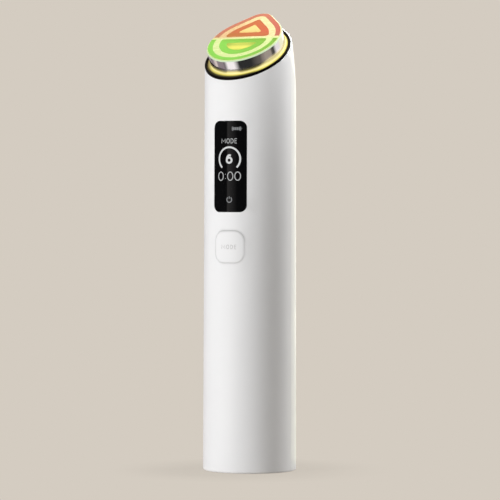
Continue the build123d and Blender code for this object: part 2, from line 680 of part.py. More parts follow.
# ---------------------------------------------------------------- button
def make_button():
    """Push button with its retaining flange and stem, and the guide, seal and switch behind."""
    flange_side = 2 * FLANGE_HALF
    flange_corner = BUTTON_CORNER + BUTTON_GAP + BUTTON_FLANGE
    cap = front_prism(BUTTON_SIZE, BUTTON_SIZE, BUTTON_CORNER, BUTTON_HEIGHT, FLANGE_BACK) & body_cone()
    rim = cap.faces().sort_by(Axis.Y)[0].edges()
    cap = fillet(rim, BUTTON_EDGE)
    flange = front_prism(flange_side, flange_side, flange_corner, BUTTON_HEIGHT, FLANGE_BACK)
    button = cap + (flange & body_cone(WALL + BUTTON_SEAT_GAP))
    button += along_y(STEM_RADIUS, FLANGE_BACK, PLUNGER_TIP, BUTTON_HEIGHT)
    save("mode_button", button)

    seal_side = flange_side - GUIDE_LEG
    seal = front_prism(seal_side, seal_side, BUTTON_CORNER, BUTTON_HEIGHT, SEAL_BACK, SEAL_FRONT)
    save("button_seal", seal - along_y(STEM_RADIUS + 2 * STEM_GAP, SEAL_FRONT, SEAL_BACK, BUTTON_HEIGHT))
    guide = front_prism(flange_side, flange_side, GUIDE_LEG / 2, BUTTON_HEIGHT, GUIDE_BACK, SEAL_BACK)
    half = GUIDE_LEG / 2
    leg_at = FLANGE_HALF - half
    for x in (-leg_at, leg_at):
        for z in (BUTTON_HEIGHT - leg_at, BUTTON_HEIGHT + leg_at):
            guide += box_between((x - half, GUIDE_BACK, z - half), (x + half, BOARD_FRONT, z + half))
    save("button_guide", guide - along_y(STEM_RADIUS + STEM_GAP, SEAL_BACK, GUIDE_BACK, BUTTON_HEIGHT))

    plunger_back = SWITCH_FRONT + PLUNGER_SINK
    half = SWITCH_SIZE / 2
    switch = box_between(
        (-half, SWITCH_FRONT, BUTTON_HEIGHT - half), (half, BOARD_FRONT, BUTTON_HEIGHT + half)
    )
    well_radius = PLUNGER_RADIUS + PLUNGER_GAP
    well_back = plunger_back + 2 * BUTTON_TRAVEL
    save("tact_switch", switch - along_y(well_radius, SWITCH_FRONT, well_back, BUTTON_HEIGHT))
    save("switch_plunger", along_y(PLUNGER_RADIUS, PLUNGER_TIP, plunger_back, BUTTON_HEIGHT))


# ---------------------------------------------------------------- boards
def make_main_board():
    """Main board and the parts soldered to it."""
    half = BOARD_HALF_WIDTH
    save("main_board", box_between((-half, BOARD_FRONT, BOARD_BOTTOM), (half, BOARD_BACK, BOARD_TOP)))
    chips = [chip(0, CONTROLLER_AT, CONTROLLER_SIZE)]
    chips += [chip(x, DRIVER_AT, DRIVER_SIZE) for x in (-DRIVER_SPREAD, DRIVER_SPREAD)]
    save("board_chips", *chips)

    buzzer = along_y(BUZZER_RADIUS, BOARD_FRONT - BUZZER_DEPTH, BOARD_FRONT, BUZZER_AT)
    buzzer_mouth = BOARD_FRONT - BUZZER_DEPTH / 2
    save("buzzer", buzzer - along_y(BUZZER_HOLE, BOARD_FRONT - BUZZER_DEPTH, buzzer_mouth, BUZZER_AT))

    core_low = TRANSFORMER_AT - CORE_HEIGHT / 2
    core_high = TRANSFORMER_AT + CORE_HEIGHT / 2
    core_back = BOARD_BACK + CORE_DEPTH
    core = box_between((-CORE_WIDTH / 2, BOARD_BACK, core_low), (CORE_WIDTH / 2, core_back, core_high))
    gap = CORE_WIDTH / 2 - CORE_LEG
    coil_low, coil_high = core_low + CORE_LEG, core_high - CORE_LEG
    save("transformer_core", core - box_between((-gap, BOARD_BACK, coil_low), (gap, core_back, coil_high)))
    save("transformer_coil", upright(COIL_RADIUS, coil_low, coil_high, 0, BOARD_BACK + CORE_DEPTH / 2))


def chip(x, height, size):
    """Flat square chip on the front of the main board."""
    half = size / 2
    front = BOARD_FRONT - CHIP_THICKNESS
    return box_between((x - half, front, height - half), (x + half, BOARD_FRONT, height + half))


# ---------------------------------------------------------------- battery and motor
def make_battery():
    """Round cell with a tab and a foam pad at each end."""
    shoulder = CELL_TOP - CELL_NUB_HEIGHT
    cell = upright(CELL_RADIUS, CELL_BOTTOM, shoulder, 0, CELL_BACK)
    save("battery_cell", cell + upright(CELL_NUB_RADIUS, shoulder, CELL_TOP, 0, CELL_BACK))
    tabs = []
    pads = []
    for tab_low, pad_low in (
        (CELL_BOTTOM - TAB_THICKNESS, CELL_BOTTOM - TAB_THICKNESS - PAD_THICKNESS),
        (CELL_TOP, CELL_TOP + TAB_THICKNESS),
    ):
        tabs.append(
            box_between(
                (-TAB_WIDTH / 2, BOARD_BACK, tab_low),
                (TAB_WIDTH / 2, CELL_BACK + TAB_WIDTH / 2, tab_low + TAB_THICKNESS),
            )
        )
        pads.append(upright(CELL_RADIUS - PAD_INSET, pad_low, pad_low + PAD_THICKNESS, 0, CELL_BACK))
    save("battery_tabs", *tabs)
    save("battery_pads", *pads)


def make_motor():
    """Vibration motor in a rubber sleeve, with an off-centre weight on its shaft."""
    bore = upright(
        MOTOR_SHAFT_RADIUS + MOTOR_BORE_GAP, MOTOR_TOP - MOTOR_BORE_DEPTH, MOTOR_TOP, 0, MOTOR_BACK
    )
    save("motor_can", upright(MOTOR_RADIUS, MOTOR_BOTTOM, MOTOR_TOP, 0, MOTOR_BACK) - bore)
    sleeve_top = SLEEVE_BOTTOM + SLEEVE_LENGTH
    sleeve = upright(MOTOR_RADIUS + SLEEVE_THICKNESS, SLEEVE_BOTTOM, sleeve_top, 0, MOTOR_BACK)
    save("motor_sleeve", sleeve - upright(MOTOR_RADIUS, SLEEVE_BOTTOM, sleeve_top, 0, MOTOR_BACK))
    shaft = upright(
        MOTOR_SHAFT_RADIUS, MOTOR_TOP - MOTOR_SHAFT_SINK, MOTOR_TOP + MOTOR_SHAFT_REACH, 0, MOTOR_BACK
    )
    save("motor_shaft", shaft)
    low = MOTOR_TOP + WEIGHT_LIFT
    high = low + WEIGHT_LENGTH
    disc = upright(WEIGHT_RADIUS, low, high, 0, MOTOR_BACK)
    heavy_half = box_between((-HALF_SPACE, MOTOR_BACK, low), (HALF_SPACE, HALF_SPACE, high))
    weight = (disc & heavy_half) + upright(WEIGHT_HUB_RADIUS, low, high, 0, MOTOR_BACK)
    save("motor_weight", weight - upright(MOTOR_SHAFT_RADIUS, low, high, 0, MOTOR_BACK))


# ---------------------------------------------------------------- chassis
def make_chassis():
    """Moulded carrier: a back shell, a floor, ribs round the cell and motor, and board rails."""
    inset = WALL + CHASSIS_GAP
    envelope = body_cone(inset, FLOOR_BOTTOM, CHASSIS_TOP)
    back = box_between((-HALF_SPACE, CHASSIS_SHELL_FROM, FLOOR_BOTTOM), (HALF_SPACE, HALF_SPACE, CHASSIS_TOP))
    chassis = (envelope - body_cone(inset + CHASSIS_WALL)) & back
    chassis += body_cone(inset, FLOOR_BOTTOM, FLOOR_TOP)
    cell_reach = TAB_THICKNESS + PAD_THICKNESS
    rib_bottoms = [
        CELL_BOTTOM - cell_reach - RIB,
        CELL_BOTTOM + CELL_LENGTH / 2,
        CELL_TOP + cell_reach,
        SLEEVE_BOTTOM + RIB,
        SLEEVE_BOTTOM + SLEEVE_LENGTH - 2 * RIB,
    ]
    rib_front = BOARD_BACK + BOARD_GAP
    for low in rib_bottoms:
        slab = box_between((-HALF_SPACE, rib_front, low), (HALF_SPACE, HALF_SPACE, low + RIB))
        chassis += slab & envelope
    for side in (-1, 1):
        edges = sorted((side * (BOARD_HALF_WIDTH - RAIL_LIP), side * (BOARD_HALF_WIDTH + RAIL_LIP)))
        rail = box_between(
            (edges[0], BOARD_FRONT - RAIL_LIP, rib_bottoms[0]), (edges[1], BOARD_BACK + RAIL_LIP, CHASSIS_TOP)
        )
        chassis += rail & envelope
    chassis -= box_between(
        (-BOARD_HALF_WIDTH - BOARD_GAP, BOARD_FRONT - BOARD_GAP, BOARD_BOTTOM),
        (BOARD_HALF_WIDTH + BOARD_GAP, BOARD_BACK + BOARD_GAP, BOARD_TOP),
    )
    chassis -= upright(CELL_RADIUS + CELL_GAP, CELL_BOTTOM, CELL_TOP, 0, CELL_BACK)
    sleeve_radius = MOTOR_RADIUS + SLEEVE_THICKNESS
    chassis -= upright(sleeve_radius, SLEEVE_BOTTOM, SLEEVE_BOTTOM + SLEEVE_LENGTH, 0, MOTOR_BACK)
    chassis -= box_between(
        (-PORT_BOARD_WIDTH / 2 - BOARD_GAP, -PORT_DEPTH / 2 - BOARD_GAP, FLOOR_BOTTOM),
        (PORT_BOARD_WIDTH / 2 + BOARD_GAP, PORT_DEPTH / 2 + BOARD_THICKNESS + BOARD_GAP, FLOOR_TOP),
    )
    screws = []
    for x in (-BOSS_AT, BOSS_AT):
        chassis -= upright(CHASSIS_SCREW_RADIUS + SCREW_GAP, FLOOR_BOTTOM, FLOOR_TOP, x)
        screws.append(
            screw(
                CHASSIS_SCREW_RADIUS,
                CHASSIS_SCREW_HEAD_RADIUS,
                CHASSIS_SCREW_HEAD,
                FLOOR_BOTTOM,
                FLOOR_TOP + CHASSIS_SCREW_BITE,
                x,
            )
        )
    save("chassis_screws", *screws)
    for y in (-CAP_SCREW_AT, CAP_SCREW_AT):
        chassis -= upright(CAP_SCREW_RADIUS, FLOOR_BOTTOM, FLOOR_BOTTOM + CAP_SCREW_BITE, 0, y)
    save("chassis", chassis)


def screw(radius, head_radius, head, seat, tip, x=0.0, y=0.0):
    """Screw that points up, with its head below the seat and a slot in the head."""
    body = upright(radius, seat, tip, x, y) + upright(head_radius, seat - head, seat, x, y)
    slot = Box(2 * head_radius, DRIVE_SLOT, DRIVE_DEPTH, align=(Align.CENTER, Align.CENTER, Align.MIN))
    return body - Pos(x, y, seat - head) * slot


# ---------------------------------------------------------------- base
def make_base():
    """Bottom cap with its seal and screws, and the charging port on its own small board."""
    inset = WALL + CAP_GAP
    skirt_top = CAP_TOP + CAP_SKIRT_HEIGHT
    cap = body_cone(inset, CAP_RECESS, CAP_TOP)
    cap += body_cone(inset, CAP_TOP, skirt_top) - body_cone(inset + CAP_SKIRT)
    seal_low = CAP_TOP + (CAP_SKIRT_HEIGHT - CAP_SEAL_SECTION) / 2
    seal_high = seal_low + CAP_SEAL_SECTION
    groove = body_cone(0, seal_low, seal_high) - body_cone(inset + CAP_SEAL_SINK)
    cap -= groove
    save("bottom_seal", body_cone(WALL, seal_low, seal_high) & groove)

    screws = []
    head_seat = CAP_RECESS + CAP_SCREW_HEAD + CAP_SCREW_SINK
    for y in (-CAP_SCREW_AT, CAP_SCREW_AT):
        cap += upright(CAP_SCREW_HEAD_RADIUS + CAP_POST_WALL, CAP_TOP, FLOOR_BOTTOM, 0, y)
        cap -= upright(CAP_SCREW_RADIUS + SCREW_GAP, CAP_RECESS, FLOOR_BOTTOM, 0, y)
        cap -= upright(CAP_SCREW_HEAD_RADIUS + SCREW_GAP, CAP_RECESS, head_seat, 0, y)
        tip = FLOOR_BOTTOM + CAP_SCREW_BITE
        screws.append(screw(CAP_SCREW_RADIUS, CAP_SCREW_HEAD_RADIUS, CAP_SCREW_HEAD, head_seat, tip, 0, y))
    save("cap_screws", *screws)

    port_top = PORT_BOTTOM + PORT_LENGTH
    gasket_side = stadium(GASKET_WALL, CAP_RECESS, CAP_TOP)
    save("bottom_cap", cap - gasket_side)
    save("port_gasket", gasket_side - stadium(0, CAP_RECESS, CAP_TOP))
    port = stadium(0, PORT_BOTTOM, port_top) - stadium(-PORT_SHEET, PORT_BOTTOM, port_top - PORT_SHEET)
    tongue_low = port_top - PORT_TONGUE_LENGTH
    half = PORT_TONGUE_WIDTH / 2
    port += box_between((-half, -PORT_TONGUE / 2, tongue_low), (half, PORT_TONGUE / 2, port_top))
    save("charging_port", port)
    half = PORT_BOARD_WIDTH / 2
    front = PORT_DEPTH / 2
    save(
        "port_board",
        box_between((-half, front, PORT_BOARD_BOTTOM), (half, front + BOARD_THICKNESS, PORT_BOARD_TOP)),
    )


def stadium(grow, bottom, top):
    """Upright prism with the charging port's round-ended section, grown all round."""
    width = PORT_WIDTH + 2 * grow
    depth = PORT_DEPTH + 2 * grow
    section = RectangleRounded(width, depth, (depth - PORT_END_FLAT) / 2)
    return extrude(Plane.XY.offset(bottom) * section, top - bottom)


def main():
    """Builds every node."""
    os.makedirs("parts", exist_ok=True)
    make_casing()
    make_face()
    make_led_board()
    make_head_base()
    make_rings()
    make_display()
    make_button()
    make_main_board()
    make_battery()
    make_motor()
    make_chassis()
    make_base()


main()
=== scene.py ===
from math import atan2, cos, pi, radians, remainder, sin, sqrt

import bpy
from bpy.props import FloatProperty, FloatVectorProperty, PointerProperty
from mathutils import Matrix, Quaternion, Vector


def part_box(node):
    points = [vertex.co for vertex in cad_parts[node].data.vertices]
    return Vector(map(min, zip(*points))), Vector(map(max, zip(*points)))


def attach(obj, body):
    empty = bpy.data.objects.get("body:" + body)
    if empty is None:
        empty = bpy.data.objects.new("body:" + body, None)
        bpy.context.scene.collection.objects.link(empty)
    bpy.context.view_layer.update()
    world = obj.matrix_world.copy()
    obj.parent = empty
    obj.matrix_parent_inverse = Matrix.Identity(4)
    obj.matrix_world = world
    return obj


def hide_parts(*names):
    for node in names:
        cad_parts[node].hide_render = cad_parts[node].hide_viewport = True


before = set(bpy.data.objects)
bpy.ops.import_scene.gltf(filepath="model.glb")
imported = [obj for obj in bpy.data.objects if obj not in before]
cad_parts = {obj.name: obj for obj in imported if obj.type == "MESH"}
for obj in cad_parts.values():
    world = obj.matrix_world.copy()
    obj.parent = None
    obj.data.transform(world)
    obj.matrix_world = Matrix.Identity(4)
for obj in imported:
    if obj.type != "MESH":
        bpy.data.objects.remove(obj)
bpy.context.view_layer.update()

bl_info = {
    "name": "Facial toning wand",
    "version": (1, 0, 0),
    "blender": (4, 5, 0),
    "location": "3D View > Sidebar > Wand",
    "description": "Finishes the wand's packed parts and adds its lit ring, screen and studio",
    "category": "Object",
}


def tone(red, green, blue):
    """Linear colour of a tone given as it shows on a screen, from 0 to 255."""
    shares = [level / 255 for level in (red, green, blue)]
    linear = [s / 12.92 if s <= 0.04045 else ((s + 0.055) / 1.055) ** 2.4 for s in shares]
    return (*linear, 1.0)


def grey(level):
    """Neutral colour, from 0 for black to 1 for white."""
    return (level, level, level, 1.0)


def scaled(tint, share, lift=0.0):
    """Colour made lighter or darker by a share, and lifted a little."""
    return (*(min(1.0, channel * share + lift) for channel in tint[:3]), 1.0)


def length(name, description, metres):
    """Property that holds a length in metres."""
    return FloatProperty(
        name=name, description=description, default=metres, min=0.0, precision=5, unit="LENGTH"
    )


def angle(name, description, degrees):
    """Property that holds an angle."""
    return FloatProperty(
        name=name, description=description, default=radians(degrees), subtype="ANGLE"
    )


def power(name, description, watts):
    """Property that holds the power of a lamp."""
    return FloatProperty(name=name, description=description, default=watts, min=0.0, unit="POWER")


def colour(name, description, red, green, blue):
    """Property that holds a colour, with its default as it shows on a screen."""
    return FloatVectorProperty(
        name=name,
        description=description,
        default=tone(red, green, blue),
        min=0.0,
        max=1.0,
        size=4,
        subtype="COLOR",
    )


# ---------------------------------------------------------------- sizes and colours
class WandSizes(bpy.types.PropertyGroup):
    """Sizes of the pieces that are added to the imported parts."""

    head_height: length("Head height", "Where the deck's plane crosses the wand's axis", 0.1669)
    head_tilt: angle("Head tilt", "Lean of the deck", 33.8)
    glow_height: length("Glow height", "Height of the lit ring above the deck", 0.0008)
    screen_lift: length("Screen lift", "How far its marks stand proud of the glass", 0.00002)
    gauge_radius: length("Gauge radius", "Radius of the arc round the level", 0.00462)
    gauge_stroke: length("Gauge stroke", "Width of the arc round the level", 0.0007)
    gauge_height: length("Gauge height", "Height of the arc's centre", 0.1238)
    clock_height: length("Clock height", "Height of the clock's middle", 0.11705)
    word_height: length("Word height", "Height of the middle of the word above the gauge", 0.1309)
    power_height: length("Power sign height", "Height of the power sign's centre", 0.1078)
    level_cap: length("Level digit", "How tall the level's digit is", 0.0030)
    clock_cap: length("Clock digits", "How tall the clock's digits are", 0.0033)
    word_cap: length("Word letters", "How tall the letters above the gauge are", 0.00172)
    label_cap: length("Label letters", "How tall the letters on the button are", 0.0015)
    button_side: length("Button side", "Width and height of the button", 0.0126)
    button_corner: length("Button corner", "Radius of the button's corners", 0.0039)
    button_gap: length("Button gap", "Gap between the button and the casing", 0.00025)


class WandColours(bpy.types.PropertyGroup):
    """Colours of the pieces that show."""

    casing: colour("Casing", "White plastic of the casing and the button", 239, 240, 242)
    casing_shade: colour("Casing shade", "Faint cloudiness in the casing", 236, 237, 239)
    # Painted shade: the tone mixed into the casing, the button and the skirt round the button's
    # gap.
    groove: colour("Groove", "Shade in the gap round the button", 150, 150, 152)
    glass: colour("Glass", "Black glass over the screen", 4, 4, 5)
    ink: colour("Screen ink", "Lit marks on the screen", 222, 224, 224)
    dim_ink: colour("Dim screen ink", "Marks on the screen that are turned down", 128, 130, 132)
    label: colour("Label", "Print on the button", 196, 196, 197)
    chrome: colour("Chrome", "Plating on the side of the head", 214, 212, 214)
    # Painted light: the lit ring's glow painted on the foot of the chrome plating.
    painted_ring_glow: colour("Spill", "Light of the ring on the foot of the plating", 252, 236, 164)
    trim: colour("Trim ring", "Black ring at the edge of the deck", 9, 6, 6)
    glow_core: colour("Glow core", "Lit ring beside the head", 246, 236, 160)
    glow_body: colour("Glow body", "Main tone of the lit ring", 236, 222, 102)
    # Painted shade on the lit ring: dark olive at its outer edge, and dim at the far left.
    glow_painted_edge_shade: colour("Glow edge", "Dark outer edge of the lit ring", 52, 46, 6)
    glow_painted_left_shade: colour("Glow, dim", "Lit ring at the far left of the head", 126, 106, 56)
    plate_front: colour("Plate, front", "Lit plate in the front half", 206, 220, 146)
    plate_rear: colour("Plate, rear", "Lit plate at the rear, on the right", 224, 204, 150)
    plate_peach: colour("Plate, peach", "Lit plate at the rear, on the left", 214, 170, 122)
    # Painted highlight on the side edge of the lit plate.
    plate_edge_highlight: colour("Rim", "Pale edge all round the plate", 204, 226, 190)
    front_band: colour("Front bands", "Green of the two front bands", 132, 212, 72)
    front_band_deep: colour("Front bands, deep", "Olive green at their far end", 116, 160, 28)
    rear_band: colour("Rear band", "Coral of the inner rear band", 206, 80, 58)
    rear_band_deep: colour("Rear band, deep", "Rust at its far end", 176, 104, 28)
    rear_edge: colour("Rear edge band", "Coral of the outer rear band", 192, 82, 68)
    rear_edge_deep: colour("Rear edge band, deep", "Rose at its far end", 184, 116, 84)
    front_lens: colour("Front lens", "Yellow middle of the front half", 222, 216, 90)
    front_lens_deep: colour("Front lens, deep", "Olive edge of the front lens", 156, 176, 56)
    rear_lens: colour("Rear lens", "Warm middle of the rear half", 216, 198, 120)
    rear_lens_deep: colour("Rear lens, deep", "Amber edge of the rear lens", 212, 162, 88)


class StudioSettings(bpy.types.PropertyGroup):
    """Camera, lamps and floor."""

    azimuth: angle("Azimuth", "Camera's angle from the display side", 27.25)
    distance: length("Distance", "From the camera to the wand's axis", 1.0875)
    camera_height: length("Camera height", "Height of the camera above the floor", 0.1017)
    aim_height: length("Aim height", "Height on the wand's axis at the middle of the view", 0.0878)
    focal: FloatProperty(
        name="Focal length", description="Lens in millimetres", default=196.0, unit="CAMERA"
    )
    roll: angle("Roll", "Lean of the camera to one side", 0.12)
    backdrop: colour("Backdrop", "Plain tone behind the wand", 212, 204, 193)
    floor: colour("Floor", "Tone of the floor where the wand's shadow falls on it", 214, 206, 195)
    key: power("Key lamp", "Power of the lamp on the left", 13.9)
    fill: power("Fill lamp", "Power of the lamp behind on the right", 6.3)
    top: power("Top lamp", "Power of the small lamp by the head", 0.019)
    deck: power("Deck lamp", "Power of the small lamp over the head", 0.11)
    ambient: FloatProperty(
        name="Ambient", description="Strength of the even light from all round", default=0.185
    )


# ---------------------------------------------------------------- paint
MILLIMETRES = 1000.0  # in a metre
MIX_SHARE, MIX_FIRST, MIX_SECOND, MIX_RESULT = 0, 6, 7, 2  # a Mix node's sockets for colours


class Value:
    """A number that a node puts out, which takes part in sums."""

    def __init__(self, paint, socket):
        self.paint = paint
        self.socket = socket

    def __add__(self, other):
        return self.paint.sum("ADD", self, other)

    def __sub__(self, other):
        return self.paint.sum("SUBTRACT", self, other)

    def __rsub__(self, other):
        return self.paint.sum("SUBTRACT", other, self)

    def __mul__(self, other):
        return self.paint.sum("MULTIPLY", self, other)

    def __truediv__(self, other):
        return self.paint.sum("DIVIDE", self, other)

    def __rtruediv__(self, other):
        return self.paint.sum("DIVIDE", other, self)

    def __abs__(self):
        return self.paint.sum("ABSOLUTE", self)

    __radd__ = __add__
    __rmul__ = __mul__


class Paint:
    """A material, or a world, being made. Every node in it comes from the method add."""

    def __init__(self, name, kept_in=None):
        self.material = (bpy.data.materials if kept_in is None else kept_in).new(name)
        self.material.use_nodes = True
        self.tree = self.material.node_tree
        self.tree.nodes.clear()

    def add(self, kind, settings=None, inputs=None, output=0):
        """Adds a node, sets it up, feeds its sockets and returns one of its outputs."""
        node = self.tree.nodes.new(kind)
        for name, setting in (settings or {}).items():
            setattr(node, name, setting)
        for name, value in (inputs or {}).items():
            if isinstance(value, Value):
                self.tree.links.new(value.socket, node.inputs[name])
            else:
                node.inputs[name].default_value = value
        return Value(self, node.outputs[output] if len(node.outputs) else None)

    def sum(self, operation, first, second=0.0):
        """One step of arithmetic."""
        return self.add("ShaderNodeMath", {"operation": operation}, {0: first, 1: second})

    def between(self, share, first, second):
        """Colour on the way from one to another."""
        settings = {"data_type": "RGBA", "clamp_factor": True}
        inputs = {MIX_SHARE: share, MIX_FIRST: first, MIX_SECOND: second}
        return self.add("ShaderNodeMix", settings, inputs, MIX_RESULT)

    def step(self, value, low, high):
        """0 at low and 1 at high, with a smooth change between them; low may be the higher."""
        settings = {"interpolation_type": "SMOOTHSTEP", "clamp": True}
        inputs = {"Value": value, "From Min": low, "From Max": high}
        return self.add("ShaderNodeMapRange", settings, inputs)

    def noise(self, scale, detail, stretch=(1.0, 1.0, 1.0)):
        """Cloudy pattern fixed to the piece, with a scale in features per metre."""
        place = self.add("ShaderNodeTexCoord", output="Object")
        if stretch != (1.0, 1.0, 1.0):
            place = self.add("ShaderNodeMapping", inputs={"Vector": place, "Scale": stretch})
        inputs = {"Vector": place, "Scale": scale, "Detail": detail}
        return self.add("ShaderNodeTexNoise", inputs=inputs)

    def axes(self):
        """The piece's own x, y and z, in millimetres."""
        place = self.add("ShaderNodeTexCoord", output="Object")
        split = self.add("ShaderNodeSeparateXYZ", inputs={"Vector": place}).socket.node
        return [Value(self, output) * MILLIMETRES for output in split.outputs]

    def looked_at(self):
        """1 for rays from the camera, also off a mirror or through glass, and 0 for lighting."""
        rays = [f"Is {kind} Ray" for kind in ("Camera", "Glossy", "Transmission")]
        camera, glossy, through = [self.add("ShaderNodeLightPath", output=ray) for ray in rays]
        return self.sum("MAXIMUM", self.sum("MAXIMUM", camera, glossy), through)

    def relief(self, height, depth, strength):
        """Surface direction over a relief whose height runs from 0 to 1, depth metres deep."""
        inputs = {"Strength": strength, "Distance": depth, "Height": height}
        return self.add("ShaderNodeBump", inputs=inputs)

    def shade(self, **inputs):
        """Closes the material with one surface shader; names hold underscores for spaces."""
        names = [name.replace("_", " ").title().replace("Ior", "IOR") for name in inputs]
        surface = self.add("ShaderNodeBsdfPrincipled", inputs=dict(zip(names, inputs.values())))
        self.add("ShaderNodeOutputMaterial", inputs={"Surface": surface})
        return self.material


def dress(node, material):
    """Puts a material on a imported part."""
    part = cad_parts[node]
    part.data.materials.clear()
    part.data.materials.append(material)


# ---------------------------------------------------------------- finishes
def moulded_plastic(name, tint, roughness, grain=900.0, depth=0.000012, cloud=0.04):
    """Moulded plastic with a fine spark-eroded grain and slight clouds in tone and sheen."""
    paint = Paint(name)
    clouds = paint.noise(70.0, 3.0)
    texture = paint.noise(grain, 4.0)
    return paint.shade(
        base_color=paint.between(clouds, scaled(tint, 1.0 - 3.0 * cloud), tint),
        roughness=roughness - 0.05 + 0.06 * clouds + 0.05 * texture,
        normal=paint.relief(texture, depth, 0.5),
    )


def soft_rubber(name, tint):
    """Silicone rubber with a dusty bloom and fine pores."""
    paint = Paint(name)
    bloom = paint.step(paint.noise(260.0, 5.0), 0.35, 0.75)
    pores = paint.noise(3200.0, 3.0)
    return paint.shade(
        base_color=paint.between(bloom, tint, scaled(tint, 1.9, 0.01)),
        roughness=0.62 + 0.25 * bloom,
        normal=paint.relief(pores, 0.00002, 0.6),
    )


def drawn_metal(name, tint, roughness, grain=(1.0, 1.0, 0.04)):
    """Metal with fine lines drawn along one axis and a few darker smudges."""
    paint = Paint(name)
    lines = paint.noise(5200.0, 3.0, grain)
    smudge = paint.step(paint.noise(180.0, 4.0), 0.45, 0.8)
    return paint.shade(
        base_color=paint.between(0.5 * lines + 0.4 * smudge, tint, scaled(tint, 0.72)),
        metallic=1.0,
        roughness=roughness + 0.12 * lines + 0.1 * smudge,
        normal=paint.relief(lines, 0.000006, 0.4),
    )


def circuit_board(name):
    """Green solder mask over copper runs, with the glass cloth showing faintly through it."""
    paint = Paint(name)
    x, _, z = paint.axes()
    runs = paint.add(
        "ShaderNodeTexBrick",
        {"offset": 0.37, "squash": 1.0},
        {
            "Vector": paint.add("ShaderNodeCombineXYZ", inputs={"X": x, "Y": z}),
            "Color1": grey(0.0),
            "Color2": grey(0.1),
            "Mortar": grey(1.0),
            "Scale": 1.0,
            "Mortar Size": 0.09,
            "Brick Width": 2.7,
            "Row Height": 1.1,
        },
        "Fac",
    )
    cloth = paint.noise(2600.0, 2.0)
    mask = paint.between(runs, (0.006, 0.09, 0.035, 1.0), (0.015, 0.17, 0.06, 1.0))
    return paint.shade(
        base_color=paint.between(0.25 * cloth, mask, (0.05, 0.22, 0.1, 1.0)),
        roughness=0.28 + 0.2 * cloth,
        normal=paint.relief(runs, 0.00003, 0.7),
        coat_weight=0.4,
    )


def flex_film(name):
    """Amber film with copper tracks running along it."""
    paint = Paint(name)
    x, _, _ = paint.axes()
    track = paint.step(paint.sum("PINGPONG", x, 0.5), 0.2, 0.3)
    wrinkle = paint.noise(420.0, 3.0)
    film = paint.between(wrinkle, (0.42, 0.16, 0.02, 1.0), (0.5, 0.22, 0.03, 1.0))
    return paint.shade(
        base_color=paint.between(track, film, (0.55, 0.27, 0.08, 1.0)),
        metallic=0.5 * track,
        roughness=0.3 + 0.15 * wrinkle,
        normal=paint.relief(wrinkle, 0.00002, 0.5),
    )


def copper_winding(name):
    """Enamelled wire in close turns."""
    paint = Paint(name)
    _, _, z = paint.axes()
    half_turn = 0.11
    turns = paint.sum("PINGPONG", z, half_turn) / half_turn
    varnish = paint.noise(900.0, 3.0)
    return paint.shade(
        base_color=paint.between(varnish, (0.5, 0.16, 0.05, 1.0), (0.66, 0.27, 0.1, 1.0)),
        metallic=1.0,
        roughness=0.24 + 0.16 * varnish,
        normal=paint.relief(turns, 0.00006, 1.0),
    )


def shrink_wrap(name, tint):
    """Plastic sleeve shrunk round the cell, with a seam and faint wrinkles near its ends."""
    paint = Paint(name)
    x, y, z = paint.axes()
    cell_middle, seam_at = 63.5, 4.0
    ends = paint.step(abs(z - cell_middle), 27.0, 32.5)
    wrinkle = paint.noise(600.0, 3.0, (1.0, 1.0, 0.15)) * ends
    seam = paint.step(abs(x - seam_at), 0.25, 0.1) * paint.step(y, 8.0, 9.0)
    return paint.shade(
        base_color=paint.between(0.5 * wrinkle + 0.5 * seam, tint, scaled(tint, 0.6)),
        roughness=0.22 + 0.2 * wrinkle + 0.1 * seam,
        normal=paint.relief(wrinkle + seam, 0.00006, 0.6),
        coat_weight=0.3,
    )


def head_plane():
    """Height of the head's plane on the wand's axis, and the cosine and sine of its lean."""
    sizes = bpy.context.scene.wand_sizes
    return sizes.head_height, cos(sizes.head_tilt), sin(sizes.head_tilt)


def head_axes(paint):
    """Across, along and above the head's plane, in millimetres, at each point of a piece."""
    height, lean_cos, lean_sin = head_plane()
    x, y, z = paint.axes()
    rise = z - MILLIMETRES * height
    return x, y * lean_cos + rise * lean_sin, rise * lean_cos - y * lean_sin


def lit_resin(paint, tint, strength, roughness, relief=None):
    """Closes a material that glows through a clear resin: part glow, part its own colour."""
    inputs = {
        "base_color": paint.between(0.55, tint, grey(0.02)),
        "roughness": roughness,
        "emission_color": tint,
        "emission_strength": strength,
        "specular_ior_level": 0.35,
    }
    if relief is not None:
        inputs["normal"] = relief
    return paint.shade(**inputs)


def band_metal(name, tint, deep, way):
    """Lit contact band, deeper in tone towards one end and beside the gap between the halves."""
    paint = Paint(name)
    across, along, _ = head_axes(paint)
    drift = paint.step(across * way + along * 0.6, -16.0, 14.0)
    beside = paint.step(abs(along), 4.6, 1.6)
    speck = paint.noise(700.0, 4.0)
    shade = paint.between(0.1 + 0.5 * drift + 0.3 * beside + 0.15 * speck, tint, deep)
    grain = paint.relief(speck, 0.000008, 0.3)
    return lit_resin(paint, shade, 0.52, 0.26 + 0.1 * speck, grain)


# ---------------------------------------------------------------- making meshes
def to_head(across, along, above):
    """Point given in the plane of the head, as a place in the frame."""
    height, lean_cos, lean_sin = head_plane()
    depth = along * lean_cos - above * lean_sin
    return Vector((across, depth, height + along * lean_sin + above * lean_cos))


def from_head(point):
    """The reverse of to_head."""
    height, lean_cos, lean_sin = head_plane()
    rise = point.z - height
    along = point.y * lean_cos + rise * lean_sin
    return Vector((point.x, along, rise * lean_cos - point.y * lean_sin))


def add_piece(name, mesh, material, body):
    """Object that shows a mesh smooth, in one material, and rides on a body."""
    mesh.name = name
    mesh.materials.clear()
    mesh.materials.append(material)
    mesh.shade_smooth()
    piece = bpy.data.objects.new(name, mesh)
    bpy.context.scene.collection.objects.link(piece)
    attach(piece, body)
    return piece


